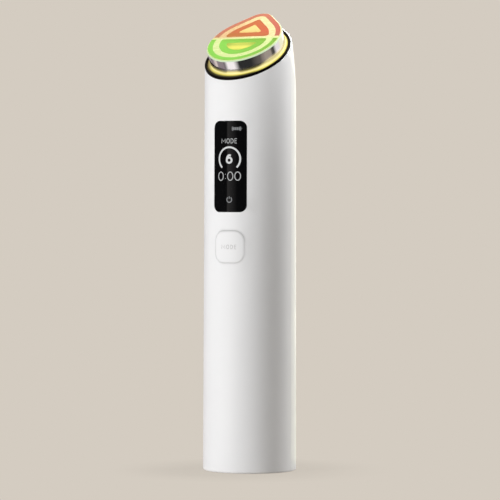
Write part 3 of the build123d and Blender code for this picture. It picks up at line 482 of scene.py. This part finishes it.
def ring_edges(node):
    """Outer and inner edge of a packed ring's foot, as (angle, radius) round the head's centre."""
    on_plane, beside = 1e-6, radians(8)
    foot = []
    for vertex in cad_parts[node].data.vertices:
        place = from_head(vertex.co)
        if abs(place.z) < on_plane:
            foot.append((atan2(place.y, place.x), sqrt(place.x**2 + place.y**2)))
    outer, inner = [], []
    for angle, radius in sorted(set(foot)):
        near = [r for a, r in foot if abs(remainder(a - angle, 2 * pi)) < beside]
        (outer if 2 * radius > max(near) + min(near) else inner).append((angle, radius))
    return outer, inner


# ---------------------------------------------------------------- screen marks
def arc_points(centre, radius, start, end, steps, squash=1.0):
    """Points along an arc, from one angle to another in degrees."""
    angles = [radians(start + (end - start) * step / steps) for step in range(steps + 1)]
    return [(centre[0] + radius * squash * cos(a), centre[1] + radius * sin(a)) for a in angles]


def rounded_box(low, high, corner):
    """Closed outline of a box with round corners."""
    (x0, y0), (x1, y1) = low, high
    points = []
    for cx, cy, start in (
        (x1 - corner, y1 - corner, 0),
        (x0 + corner, y1 - corner, 90),
        (x0 + corner, y0 + corner, 180),
        (x1 - corner, y0 + corner, 270),
    ):
        points += arc_points((cx, cy), corner, start, start + 90, 6)
    return points


LABEL_STROKE, LABEL_LIFT = 0.00024, 0.00001  # width and height of the button's print, in metres

# Each letter is drawn in a box one unit tall: its width, then its open or closed strokes.
LETTERS = {
    "M": (1.0, [("open", [(0, 0), (0, 1), (0.5, 0.34), (1, 1), (1, 0)])]),
    "O": (0.72, [("closed", arc_points((0.36, 0.5), 0.5, 0, 345, 23, 0.72))]),
    "D": (0.6, [("closed", [(0, 0), (0, 1)] + arc_points((0.1, 0.5), 0.5, 90, -90, 14))]),
    "E": (
        0.48,
        [("open", [(0.48, 1), (0, 1), (0, 0), (0.48, 0)]), ("open", [(0, 0.52), (0.42, 0.52)])],
    ),
    "0": (0.7, [("closed", arc_points((0.35, 0.5), 0.5, 0, 345, 23, 0.7))]),
    ":": (0.12, [("open", [(0.06, 0.2), (0.06, 0.26)]), ("open", [(0.06, 0.7), (0.06, 0.76)])]),
    "6": (
        0.72,
        [
            ("closed", arc_points((0.36, 0.34), 0.34, 0, 345, 23, 1.06)),
            (
                "open",
                [(0.02, 0.36), (0.03, 0.56), (0.1, 0.78), (0.24, 0.95), (0.42, 1.0), (0.6, 0.93)],
            ),
        ],
    ),
}


def written(text, cap, spacing, centre):
    """Strokes of a line of text, centred on a point of the unrolled front."""
    width = sum(LETTERS[letter][0] for letter in text) + spacing * (len(text) - 1)
    left = centre[0] - width * cap / 2
    strokes = []
    for letter in text:
        advance, shapes = LETTERS[letter]
        for kind, points in shapes:
            placed = [(left + x * cap, centre[1] + (y - 0.5) * cap) for x, y in points]
            strokes.append((kind, placed))
        left += (advance + spacing) * cap
    return strokes


def casing_taper():
    """Outer radius of the casing at its foot, and how much it loses per metre of height."""
    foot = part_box("casing")[1].x
    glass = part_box("display_window")[0]
    return foot, (foot + glass.y) / glass.z


def mark(name, strokes, stroke, material, body, lift):
    """Flat strokes of even width that lie on the curved front of the casing."""
    flatness = 0.06
    curve = bpy.data.curves.new(name, "CURVE")
    curve.dimensions = "3D"
    curve.bevel_depth = stroke / 2
    curve.bevel_resolution = 2
    curve.use_fill_caps = True
    for kind, points in strokes:
        spline = curve.splines.new("POLY")
        spline.points.add(len(points) - 1)
        spline.use_cyclic_u = kind == "closed"
        for point, (x, z) in zip(spline.points, points):
            point.co = (x, 0.0, z, 1.0)
    drawn = bpy.data.objects.new(name + "_line", curve)
    bpy.context.scene.collection.objects.link(drawn)
    bpy.context.view_layer.update()
    depsgraph = bpy.context.evaluated_depsgraph_get()
    mesh = bpy.data.meshes.new_from_object(drawn.evaluated_get(depsgraph))
    bpy.data.objects.remove(drawn)
    foot, taper = casing_taper()
    for vertex in mesh.vertices:
        x, depth, z = vertex.co
        radius = foot - taper * z + lift - flatness * depth
        vertex.co = (x, -sqrt(radius**2 - x**2), z)
    return add_piece(name, mesh, material, body)


def screen_ink(name, tint, strength=0.9):
    """Lit marks of the screen, with the faint dot pattern of its panel."""
    paint = Paint(name)
    x, _, z = paint.axes()
    dots = paint.sum("PINGPONG", x, 0.06) + paint.sum("PINGPONG", z, 0.06)
    return paint.shade(
        base_color=grey(0.02),
        roughness=0.2,
        emission_color=paint.between(paint.step(dots, 0.02, 0.06), scaled(tint, 0.86), tint),
        emission_strength=strength,
    )


def round_wand(reach, bearing, height):
    """Place at a distance from the wand's axis, with its bearing from the display's side."""
    return Vector((reach * sin(bearing), -reach * cos(bearing), height))


# ---------------------------------------------------------------- operators
class WAND_OT_lay_stage(bpy.types.Operator):
    """Sets up the floor, the backdrop, the lamps and the camera"""

    bl_idname = "wand.lay_stage"
    bl_label = "Lay the stage"

    def execute(self, context):
        studio = context.scene.wand_studio
        self.add_camera(context, studio)
        self.add_floor(context, studio)
        self.light_world(context, studio)
        self.add_lamps(context, studio)
        self.add_cards(context)
        context.scene.view_settings.view_transform = "Standard"
        return {"FINISHED"}

    def add_camera(self, context, studio):
        """Camera that looks at the wand's axis from the display side, a little to the right."""
        camera = bpy.data.objects.new("studio_camera", bpy.data.cameras.new("studio_camera"))
        context.scene.collection.objects.link(camera)
        camera.location = round_wand(studio.distance, studio.azimuth, studio.camera_height)
        look = Vector((0, 0, studio.aim_height)) - camera.location
        turn = look.to_track_quat("-Z", "Y") @ Quaternion((0, 0, 1), studio.roll)
        camera.rotation_mode = "QUATERNION"
        camera.rotation_quaternion = turn
        camera.data.lens = studio.focal
        camera.data.sensor_width = 36.0
        camera.data.clip_start = 0.01
        context.scene.camera = camera

    def add_floor(self, context, studio):
        """Round floor whose far parts show as the backdrop's tone, so that no horizon shows."""
        rings, sides, drop = (0.05, 0.1, 0.2, 0.5, 1.5, 5.0), 64, 0.0001
        bearings = [2 * pi * side / sides for side in range(sides)]
        vertices, faces = [(0.0, 0.0, 0.0)], []
        for radius in rings:
            vertices += [(radius * cos(turn), radius * sin(turn), 0.0) for turn in bearings]
        for side in range(sides):
            after = (side + 1) % sides
            faces.append((0, 1 + side, 1 + after))
            for ring in range(len(rings) - 1):
                near, far = 1 + ring * sides, 1 + (ring + 1) * sides
                faces.append((near + side, far + side, far + after, near + after))
        mesh = bpy.data.meshes.new("floor")
        mesh.from_pydata(vertices, [], faces)
        mesh.materials.append(floor_paint(studio))
        floor = bpy.data.objects.new("floor", mesh)
        floor.location.z = -drop
        context.scene.collection.objects.link(floor)

    def light_world(self, context, studio):
        """Even grey light on everything, and the backdrop's tone where the world itself shows."""
        paint = Paint("studio", bpy.data.worlds)
        light = {"Color": grey(1.0), "Strength": studio.ambient}
        even = paint.add("ShaderNodeBackground", inputs=light)
        shown = paint.add("ShaderNodeBackground", inputs={"Color": studio.backdrop})
        mixed = paint.add("ShaderNodeMixShader", inputs={0: paint.looked_at(), 1: even, 2: shown})
        paint.add("ShaderNodeOutputWorld", inputs={"Surface": mixed})
        context.scene.world = paint.material

    def add_lamps(self, context, studio):
        """Soft lamps that light the wand and don't show as reflections in it."""
        # Each lamp: its power, its angle to the right of the camera, its distance from the wand's
        # axis, its height, its width and height, and the height on the axis that it points at.
        lamps = (
            ("key_lamp", studio.key, -54.5, 1.0, 0.07, (0.3, 0.7), 0.08),
            ("fill_lamp", studio.fill, 110.0, 0.9, 0.2, (0.3, 0.7), 0.1),
            ("top_lamp", studio.top, 50.0, 0.085, 0.185, (0.02, 0.02), 0.2),
            ("deck_lamp", studio.deck, 81.0, 0.0125, 0.26, (0.02, 0.02), 0.17),
        )
        for name, power, swing, reach, height, (width, tall), aim_height in lamps:
            data = bpy.data.lights.new(name, "AREA")
            data.shape = "RECTANGLE"
            data.size = width
            data.size_y = tall
            data.energy = power
            lamp = bpy.data.objects.new(name, data)
            lamp.location = round_wand(reach, studio.azimuth + radians(swing), height)
            aim = Vector((0, 0, aim_height)) - lamp.location
            lamp.rotation_mode = "QUATERNION"
            lamp.rotation_quaternion = aim.to_track_quat("-Z", "Y")
            lamp.visible_camera = False
            lamp.visible_glossy = False
            context.scene.collection.objects.link(lamp)

    def add_cards(self, context):
        """Light and dark cards round the wand, which show only as reflections in it."""
        start, corner, top = (0.03, 0.001), (0.75, 0.001), (0.75, 0.6)
        self.add_card_ring(context, "floor_cards", FLOOR_CARDS, (start, corner))
        self.add_card_ring(context, "wall_cards", WALL_CARDS, (corner, top))

    def add_card_ring(self, context, name, cards, profile):
        """Round strip, from one (radius, height) to another, that glows where the cards are."""
        turns = 240
        vertices, glow = [], []
        for turn in range(turns):
            bearing = -180.0 + 360.0 * turn / turns
            light = card_light(cards, bearing)
            for radius, height in profile:
                vertices.append(round_wand(radius, radians(bearing), height))
                glow += light
        faces = []
        for turn in range(turns):
            after = (turn + 1) % turns
            faces.append((2 * turn, 2 * turn + 1, 2 * after + 1, 2 * after))
        mesh = bpy.data.meshes.new(name)
        mesh.from_pydata(vertices, [], faces)
        mesh.attributes.new("glow", "FLOAT_COLOR", "POINT").data.foreach_set("color", glow)
        paint = Paint(name)
        shown = paint.add("ShaderNodeAttribute", {"attribute_name": "glow"}, output="Color")
        light = paint.add("ShaderNodeEmission", inputs={"Color": shown})
        paint.add("ShaderNodeOutputMaterial", inputs={"Surface": light})
        mesh.materials.append(paint.material)
        ring = bpy.data.objects.new(name, mesh)
        for kind in ("camera", "diffuse", "transmission", "volume_scatter", "shadow"):
            setattr(ring, "visible_" + kind, False)
        context.scene.collection.objects.link(ring)


# Each card: the bearings in degrees from the display's side where it starts, is full, fades and
# ends, how light it is, and its tint.
WHITE, MAUVE = (1.03, 0.98, 0.96), (1.1, 0.9, 0.97)
SAND, CREAM = (1.1, 0.95, 0.78), (1.09, 1.07, 0.74)
FLOOR_CARDS = (
    (-172, -150, -72, -62, 0.32, MAUVE),
    (-136, -130, -124, -119, 0.28, SAND),
    (-112, -104, -100, -93, 0.55, SAND),
    (-67, -53, -23, 4, 1.32, WHITE),
    (56, 78, 88, 96, 0.12, SAND),
    (84, 98, 115, 121, 0.42, SAND),
    (128, 136, 195, 215, 1.15, CREAM),
)
WALL_CARDS = (
    (-172, -150, -124, -116, 0.35, MAUVE),
    (-33, -31, -30, -5, 0.5, WHITE),
    (96, 102, 119, 125, 0.12, SAND),
    (125, 134, 146, 156, 1.1, WHITE),
    (146, 156, 205, 215, 1.15, CREAM),
    (172, 178, 195, 205, 0.8, WHITE),
)


def card_light(cards, bearing):
    """Colour that a ring of cards shows at one bearing, nearly black where it has no card."""
    light = [0.04] * 3
    for start, full, fade, end, level, tint in cards:
        for turned in (bearing - 360.0, bearing, bearing + 360.0):
            share = min(1.0, (turned - start) / (full - start), (end - turned) / (end - fade))
            if share > 0.0:
                light = [before + level * share * channel for before, channel in zip(light, tint)]
    return light + [1.0]


def floor_paint(studio):
    """Matt floor near the wand, fading to the backdrop's plain tone further out."""
    paint = Paint("floor")
    x, y, _ = paint.axes()
    away = paint.step(paint.sum("SQRT", x * x + y * y), 18.0, 60.0)
    lit = paint.add("ShaderNodeBsdfDiffuse", inputs={"Color": studio.floor})
    plain = paint.add("ShaderNodeEmission", inputs={"Color": studio.backdrop})
    share = paint.looked_at() * (0.8 + 0.2 * away)
    mixed = paint.add("ShaderNodeMixShader", inputs={0: share, 1: lit, 2: plain})
    paint.add("ShaderNodeOutputMaterial", inputs={"Surface": mixed})
    return paint.material


class WAND_OT_finish_casing(bpy.types.Operator):
    """Finishes the casing in satin white plastic"""

    bl_idname = "wand.finish_casing"
    bl_label = "Finish the casing"

    def execute(self, context):
        dress("casing", casing_plastic("casing_white", context.scene.wand_colours))
        return {"FINISHED"}


def casing_plastic(name, colours):
    """Satin white plastic, with a faint cloudiness, an almost invisible skin texture and painted
    shade round the button.
    """
    paint = Paint(name)
    clouds = paint.noise(45.0, 3.0)
    skin = paint.noise(1500.0, 3.0)
    handled = paint.step(paint.noise(28.0, 4.0), 0.42, 0.7)
    white = paint.between(clouds, colours.casing_shade, colours.casing)
    return paint.shade(
        # painted shade round the button's gap
        base_color=paint.between(0.2 * painted_groove_shade(paint), white, colours.groove),
        roughness=0.33 + 0.06 * handled + 0.04 * skin,
        normal=paint.relief(skin, 0.000004, 0.35),
    )


def painted_groove_shade(paint):
    """Share of painted shade: 1 in the gap round the button, fading out beside it; none on its
    left, most at its top.
    """
    sizes = bpy.context.scene.wand_sizes
    low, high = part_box("mode_button")
    x, y, z = paint.axes()
    rise = z - MILLIMETRES * (low.z + high.z) / 2
    straight = MILLIMETRES * (sizes.button_side / 2 - sizes.button_corner)
    beyond_x = paint.sum("MAXIMUM", abs(x) - straight)
    beyond_z = paint.sum("MAXIMUM", abs(rise) - straight)
    reach = paint.sum("SQRT", beyond_x * beyond_x + beyond_z * beyond_z)
    beside = abs(reach - MILLIMETRES * (sizes.button_corner + sizes.button_gap / 2))
    near = paint.step(beside, 1.0, 0.1) * paint.step(y, 0.0, -5.0)
    return near * paint.step(x, -5.6, -2.6) * (0.45 + 0.55 * paint.step(rise, 0.0, 5.0))


def silicone_with_painted_shade(colours):
    """Pale silicone that fills the gap round the button, darkened by painted shade except on its
    left.
    """
    paint = Paint("gap_silicone_painted_shade")
    speck = paint.noise(1200.0, 3.0)
    return paint.shade(
        base_color=paint.between(0.55 * painted_groove_shade(paint), colours.casing, colours.groove),
        roughness=0.55 + 0.1 * speck,
        normal=paint.relief(speck, 0.000005, 0.4),
    )


class WAND_OT_finish_button(bpy.types.Operator):
    """Finishes the push button and prints its label"""

    bl_idname = "wand.finish_button"
    bl_label = "Finish the button"

    def execute(self, context):
        sizes, colours = context.scene.wand_sizes, context.scene.wand_colours
        dress("mode_button", casing_plastic("button_white", colours))
        low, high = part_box("mode_button")
        middle = (low.z + high.z) / 2
        self.fill_gap(sizes, silicone_with_painted_shade(colours), middle)
        strokes = written("MODE", sizes.label_cap, 0.5, (0.0, middle))
        mark("button_label", strokes, LABEL_STROKE, button_print(colours), "button", LABEL_LIFT)
        return {"FINISHED"}

    def fill_gap(self, sizes, silicone, middle):
        """Skirt that fills the gap round the button, a little below the casing's surface."""
        clearance, sunk = 0.00002, 0.00008
        out = sizes.button_gap / 2
        half = sizes.button_side / 2 + out
        corner = sizes.button_corner + out
        path = rounded_box((-half, middle - half), (half, middle + half), corner)
        width = sizes.button_gap - clearance
        mark("button_skirt", [("closed", path)], width, silicone, "body", -sunk)


def button_print(colours):
    """Pale print, worn a little thin in specks."""
    paint = Paint("button_print")
    wear = paint.noise(1800.0, 4.0)
    return paint.shade(
        base_color=paint.between(wear, colours.label, scaled(colours.label, 1.08)),
        roughness=0.4 + 0.1 * wear,
    )


class WAND_OT_finish_head(bpy.types.Operator):
    """Finishes the chrome shell, the lit plate, its bands and its lenses"""

    bl_idname = "wand.finish_head"
    bl_label = "Finish the head"

    def execute(self, context):
        colours = context.scene.wand_colours
        dress("head_shell", plated_chrome(colours))
        dress("face_plate", lit_plate(colours))
        dress("trim_ring", trim_plastic(colours))
        green = band_metal("front_band", colours.front_band, colours.front_band_deep, 1.0)
        for ring in ("outer", "inner"):
            dress(f"front_{ring}_electrode", green)
        coral = band_metal("rear_band", colours.rear_band, colours.rear_band_deep, -1.0)
        dress("rear_inner_electrode", coral)
        rose = band_metal("rear_edge_band", colours.rear_edge, colours.rear_edge_deep, -1.0)
        dress("rear_outer_electrode", rose)
        lenses = (
            ("front_lens", colours.front_lens, colours.front_lens_deep, -8.2, 1.0),
            ("rear_lens", colours.rear_lens, colours.rear_lens_deep, 7.0, 2.2),
        )
        for name, tint, deep, middle, reach in lenses:
            dress(name, lens_resin(name, tint, deep, middle, reach))
        return {"FINISHED"}


def trim_plastic(colours):
    """Deep black plastic with a soft sheen and a fine grain."""
    paint = Paint("trim_black")
    grain = paint.noise(1400.0, 4.0)
    return paint.shade(
        base_color=paint.between(grain, colours.trim, scaled(colours.trim, 1.5, 0.0004)),
        roughness=0.36 + 0.1 * grain,
        normal=paint.relief(grain, 0.000004, 0.5),
        specular_ior_level=0.05,
    )


def plated_chrome(colours):
    """Bright plating with a faint haze, frosted at its foot, where the lit ring's light is painted
    on.
    """
    paint = Paint("head_chrome")
    side, along, above = head_axes(paint)
    right = paint.step(side, 9.0, 14.0)
    middle = paint.step(side, -2.9, -1.3) * paint.step(side, 4.0, 2.2)
    strip = middle * paint.step(along, 0.0, -5.0)
    frost = paint.step(above, 3.6, 1.9)
    # painted light of the ring, from the foot up, reaching higher on the right and in a strip at
    # the front
    painted_ring_glow = paint.step(above - 1.6 * right - 0.9 * strip, 1.9, 0.4)
    haze = paint.noise(240.0, 3.0)
    wave = paint.noise(90.0, 1.0, (1.0, 1.0, 0.3))
    return paint.shade(
        base_color=paint.between(haze, scaled(colours.chrome, 0.93), colours.chrome),
        metallic=1.0,
        roughness=0.05 + 0.04 * haze + 0.3 * frost,
        normal=paint.relief(wave, 0.00001, 0.12),
        emission_color=paint.between(painted_ring_glow, grey(0.0), colours.painted_ring_glow),
        emission_strength=0.6,
    )


def lit_plate(colours):
    """Clear resin plate lit from below, green in front and warm behind, with a painted highlight
    on its side.
    """
    paint = Paint("lit_plate")
    across, along, above = head_axes(paint)
    half = paint.step(along, -1.4, 0.6)
    mist = paint.noise(300.0, 3.0)
    drift = paint.step(across, -9.0, 3.0)
    warm = paint.between(drift, colours.plate_peach, colours.plate_rear)
    face = paint.between(half, colours.plate_front, warm)
    misty = paint.between(0.25 * mist, face, scaled(colours.plate_front, 0.9))
    # painted highlight on the plate's side, below its top face
    edge = paint.step(above, 6.8, 6.55)
    return lit_resin(paint, paint.between(edge, misty, colours.plate_edge_highlight), 0.6, 0.22 + 0.1 * mist)


def lens_resin(name, tint, deep, middle, reach):
    """Clear lens, brightest along its middle and deeper in tone at its far edges."""
    paint = Paint(name)
    across, along, _ = head_axes(paint)
    edge = paint.step(abs(along - middle), 0.3 * reach, 2.4 * reach)
    side = paint.step(abs(across), 2.0, 6.5)
    mist = paint.noise(500.0, 3.0)
    shade = paint.between(0.6 * edge + 0.35 * side + 0.1 * mist, tint, deep)
    return lit_resin(paint, shade, 0.6, 0.18 + 0.1 * mist)


class WAND_OT_build_glow_ring(bpy.types.Operator):
    """Builds the rounded lit ring that lies on the deck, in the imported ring's place"""

    bl_idname = "wand.build_glow_ring"
    bl_label = "Build the lit ring"

    def execute(self, context):
        turns, ribs = 288, 14
        edge_height, crown_at, fullness = 0.1, 1 / 2.2, 0.7
        outer, inner = ring_edges("light_ring")
        height = context.scene.wand_sizes.glow_height
        vertices, across = [], []
        for turn in range(turns):
            angle = -pi + 2 * pi * turn / turns
            far, near = at_angle(outer, angle), at_angle(inner, angle)
            for rib in range(ribs + 1):
                share = rib / ribs
                radius = far + (near - far) * share
                swell = sin(0.5 * pi * min(1.0, share / crown_at)) ** fullness
                above = height * (edge_height + (1.0 - edge_height) * swell)
                vertices.append(to_head(radius * cos(angle), radius * sin(angle), above))
                across.append(share)
            for radius in (near, far):
                vertices.append(to_head(radius * cos(angle), radius * sin(angle), 0.0))
                across.append(0.0)
        row = ribs + 3
        faces = []
        for turn in range(turns):
            here, after = turn * row, (turn + 1) % turns * row
            for rib in range(row):
                beside = (rib + 1) % row
                faces.append((here + rib, after + rib, after + beside, here + beside))
        mesh = bpy.data.meshes.new("lit_ring")
        mesh.from_pydata(vertices, [], faces)
        mesh.validate()
        mesh.attributes.new("across", "FLOAT", "POINT").data.foreach_set("value", across)
        ring = add_piece("lit_ring", mesh, glow_resin(context.scene.wand_colours), "body")
        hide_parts("light_ring")
        return {"FINISHED"}


def at_angle(loop, angle):
    """Radius of a loop of (angle, radius) at one angle, read between its nearest points."""
    before = max((p for p in loop if p[0] <= angle), default=None)
    after = min((p for p in loop if p[0] > angle), default=None)
    if before is None:
        before = (loop[-1][0] - 2 * pi, loop[-1][1])
    if after is None:
        after = (loop[0][0] + 2 * pi, loop[0][1])
    share = (angle - before[0]) / (after[0] - before[0])
    return before[1] + (after[1] - before[1]) * share


def glow_resin(colours):
    """Light guide, brightest by the head; painted shade olive by the trim and dim left, painted
    light pale right.
    """
    paint = Paint("glow_resin")
    side, _, _ = head_axes(paint)
    # painted shade at the far left; painted light makes the right side paler
    dim = paint.step(side, -10.0, -15.0)
    across = paint.add("ShaderNodeAttribute", {"attribute_name": "across"}, output="Fac")
    right = paint.step(side, 7.0, 13.0)
    mist = paint.noise(400.0, 2.0)
    lit = paint.step(across + 0.35 * right, 0.2, 0.72)
    core = paint.step(across + 0.3 * right, 0.6, 1.0)
    body = paint.between(lit, colours.glow_painted_edge_shade, colours.glow_body)
    full = paint.between(core, body, colours.glow_core)
    shade = paint.between(0.8 * dim, full, colours.glow_painted_left_shade)
    return lit_resin(paint, shade, 0.66, 0.25 + 0.1 * mist)


class WAND_OT_build_screen(bpy.types.Operator):
    """Finishes the glass and lays the screen's marks on it"""

    bl_idname = "wand.build_screen"
    bl_label = "Build the screen"

    def execute(self, context):
        sizes, colours = context.scene.wand_sizes, context.scene.wand_colours
        dress("display_window", black_glass(colours))
        bright = screen_ink("screen_ink", colours.ink)
        dim = screen_ink("screen_ink_dim", colours.dim_ink)
        thin = screen_ink("screen_ink_thin", colours.ink, 0.6)
        faint = screen_ink("screen_ink_word", colours.ink, 0.55)
        centre = (0.0001, sizes.gauge_height)
        gauge = [("open", arc_points(centre, sizes.gauge_radius, 226, -46, 60))]
        level = written("6", sizes.level_cap, 0.0, centre)
        clock = written("0:00", sizes.clock_cap, 0.24, (0.0, sizes.clock_height))
        word = written("MODE", sizes.word_cap, 0.36, (0.0, sizes.word_height))
        outline, bars = self.battery_sign()
        power_sign = self.power_sign((0.0002, sizes.power_height))
        for name, strokes, stroke, ink in (
            ("screen_gauge", gauge, sizes.gauge_stroke, bright),
            ("screen_level", level, 0.0008, bright),
            ("screen_clock", clock, 0.00036, thin),
            ("screen_word", word, 0.0003, faint),
            ("screen_battery", outline, 0.00016, dim),
            ("screen_battery_bars", bars, 0.00078, dim),
            ("screen_power", power_sign, 0.00044, dim),
        ):
            mark(name, strokes, stroke, ink, "body", sizes.screen_lift)
        return {"FINISHED"}

    def battery_sign(self):
        """Strokes of a battery lying on its side, with its stub, and of the four bars in it."""
        left, right, low, high = 0.0013, 0.0050, 0.13495, 0.13645
        corner, stub_inset, bar_inset = 0.0003, 0.0006, 0.0002
        first_bar, bar_pitch = left + 0.00055, 0.00087
        stub = right + corner
        outline = [
            ("closed", rounded_box((left, low), (right, high), corner)),
            ("open", [(stub, low + stub_inset), (stub, high - stub_inset)]),
        ]
        bars = []
        for place in range(4):
            x = first_bar + place * bar_pitch
            bars.append(("open", [(x, low + bar_inset), (x, high - bar_inset)]))
        return outline, bars

    def power_sign(self, centre):
        """Strokes of an open ring with a bar in its gap."""
        radius, bar_low, bar_high = 0.00105, 0.0004, 0.00125
        x, middle = centre
        return [
            ("open", arc_points(centre, radius, 125, 415, 30)),
            ("open", [(x, middle + bar_low), (x, middle + bar_high)]),
        ]


def black_glass(colours):
    """Deep black glass, a touch lighter and rougher in faint upright streaks."""
    paint = Paint("black_glass")
    upright_streaks = paint.noise(60.0, 3.0, (1.0, 1.0, 0.35))
    return paint.shade(
        base_color=paint.between(upright_streaks, colours.glass, scaled(colours.glass, 1.6, 0.0006)),
        roughness=0.04 + 0.05 * upright_streaks,
    )


class WAND_OT_finish_base(bpy.types.Operator):
    """Finishes the bottom cap, its screws and the charging socket"""

    bl_idname = "wand.finish_base"
    bl_label = "Finish the base"

    def execute(self, context):
        screw_steel = drawn_metal("cap_screw_steel", tone(176, 176, 180), 0.28, (1.0, 0.05, 1.0))
        dress("bottom_cap", moulded_plastic("cap_white", tone(228, 228, 229), 0.5, 700.0, 0.00002))
        dress("charging_port", drawn_metal("port_steel", tone(196, 196, 198), 0.2))
        dress("cap_screws", screw_steel)
        dress("port_gasket", soft_rubber("port_rubber", tone(150, 150, 152)))
        return {"FINISHED"}


class WAND_OT_finish_insides(bpy.types.Operator):
    """Finishes the parts inside the casing"""

    bl_idname = "wand.finish_insides"
    bl_label = "Finish the insides"

    def execute(self, context):
        seal = soft_rubber("seal_rubber", tone(38, 38, 40))
        board = circuit_board("board_green")
        film = flex_film("flex_film")
        steel = drawn_metal("bright_steel", tone(186, 186, 190), 0.3)
        finishes = {
            "contact_pins": drawn_metal("pin_gold", tone(230, 190, 96), 0.2),
            "led_board": board,
            "main_board": board,
            "port_board": board,
            "leds": led_resin(),
            "head_base": moulded_plastic("head_base_black", tone(58, 58, 60), 0.5),
            "head_clamp": moulded_plastic("clamp_grey", tone(92, 92, 94), 0.45),
            "head_screws": steel,
            "chassis_screws": steel,
            "head_seal": seal,
            "bottom_seal": seal,
            "display_gasket": seal,
            "button_seal": soft_rubber("seal_silicone", tone(206, 206, 207)),
            "head_flex": film,
            "display_flex": film,
            "display_module": black_panel(),
            "display_bracket": moulded_plastic("bracket_black", tone(52, 52, 54), 0.5),
            "flex_connectors": moulded_plastic("connector_cream", tone(220, 214, 196), 0.55),
            "button_guide": moulded_plastic("guide_grey", tone(140, 140, 142), 0.5),
            "switch_plunger": moulded_plastic("plunger_black", tone(34, 34, 34), 0.4),
            "tact_switch": drawn_metal("switch_tin", tone(188, 188, 190), 0.34, (0.05, 1.0, 1.0)),
            "board_chips": moulded_plastic("chip_epoxy", tone(32, 32, 34), 0.6, 1600.0, 0.00002),
            "buzzer": moulded_plastic("buzzer_black", tone(38, 38, 38), 0.45),
            "transformer_core": moulded_plastic(
                "ferrite", tone(70, 68, 68), 0.7, 2400.0, 0.00003, 0.08
            ),
            "transformer_coil": copper_winding("winding"),
            "battery_cell": shrink_wrap("cell_wrap", tone(70, 140, 205)),
            "battery_tabs": drawn_metal(
                "nickel_strip", tone(206, 204, 198), 0.26, (1.0, 0.05, 1.0)
            ),
            "battery_pads": soft_rubber("pad_foam", tone(64, 64, 66)),
            "motor_can": drawn_metal("motor_steel", tone(200, 200, 202), 0.24),
            "motor_sleeve": soft_rubber("sleeve_rubber", tone(44, 44, 46)),
            "motor_shaft": drawn_metal("shaft_steel", tone(214, 214, 216), 0.14, (1.0, 1.0, 6.0)),
            "motor_weight": drawn_metal("tungsten", tone(150, 150, 154), 0.4, (1.0, 1.0, 1.0)),
            "chassis": moulded_plastic("chassis_grey", tone(84, 84, 86), 0.55, 800.0, 0.00002),
        }
        for node, material in finishes.items():
            dress(node, material)
        return {"FINISHED"}


def led_resin():
    """Pale resin of the LEDs, clouded with yellow phosphor."""
    paint = Paint("led_resin")
    mist = paint.noise(1800.0, 2.0)
    shade = paint.between(mist, tone(250, 246, 210), tone(244, 226, 120))
    return lit_resin(paint, shade, 0.8, 0.3 + 0.1 * mist)


def black_panel():
    """Screen panel: black glass with the faint grid of its cells."""
    paint = Paint("black_panel")
    x, _, z = paint.axes()
    lines = paint.sum("PINGPONG", x, 0.1) * paint.sum("PINGPONG", z, 0.1)
    grid = paint.step(lines, 0.0005, 0.002)
    return paint.shade(
        base_color=paint.between(grid, (0.012, 0.012, 0.014, 1.0), (0.004, 0.004, 0.005, 1.0)),
        roughness=0.08 + 0.05 * grid,
    )


STEPS = (
    WAND_OT_lay_stage,
    WAND_OT_finish_casing,
    WAND_OT_finish_button,
    WAND_OT_build_screen,
    WAND_OT_finish_head,
    WAND_OT_build_glow_ring,
    WAND_OT_finish_base,
    WAND_OT_finish_insides,
)


class WAND_PT_maker(bpy.types.Panel):
    """Lists the wand's sizes, colours and making steps"""

    bl_idname = "WAND_PT_maker"
    bl_label = "Facial toning wand"
    bl_space_type = "VIEW_3D"
    bl_region_type = "UI"
    bl_category = "Wand"

    def draw(self, context):
        scene = context.scene
        for group in (scene.wand_sizes, scene.wand_colours, scene.wand_studio):
            box = self.layout.box()
            for name in group.__annotations__:
                box.prop(group, name)
        for step in STEPS:
            self.layout.operator(step.bl_idname)


CLASSES = (WandSizes, WandColours, StudioSettings) + STEPS + (WAND_PT_maker,)


def register():
    for cls in CLASSES:
        bpy.utils.register_class(cls)
    bpy.types.Scene.wand_sizes = PointerProperty(type=WandSizes)
    bpy.types.Scene.wand_colours = PointerProperty(type=WandColours)
    bpy.types.Scene.wand_studio = PointerProperty(type=StudioSettings)


def unregister():
    for name in ("wand_sizes", "wand_colours", "wand_studio"):
        delattr(bpy.types.Scene, name)
    for cls in reversed(CLASSES):
        bpy.utils.unregister_class(cls)


def main():
    """Registers the add-on and runs its steps in order."""
    register()
    for step in STEPS:
        group, name = step.bl_idname.split(".")
        getattr(getattr(bpy.ops, group), name)()


if __name__ == "__main__":
    main()
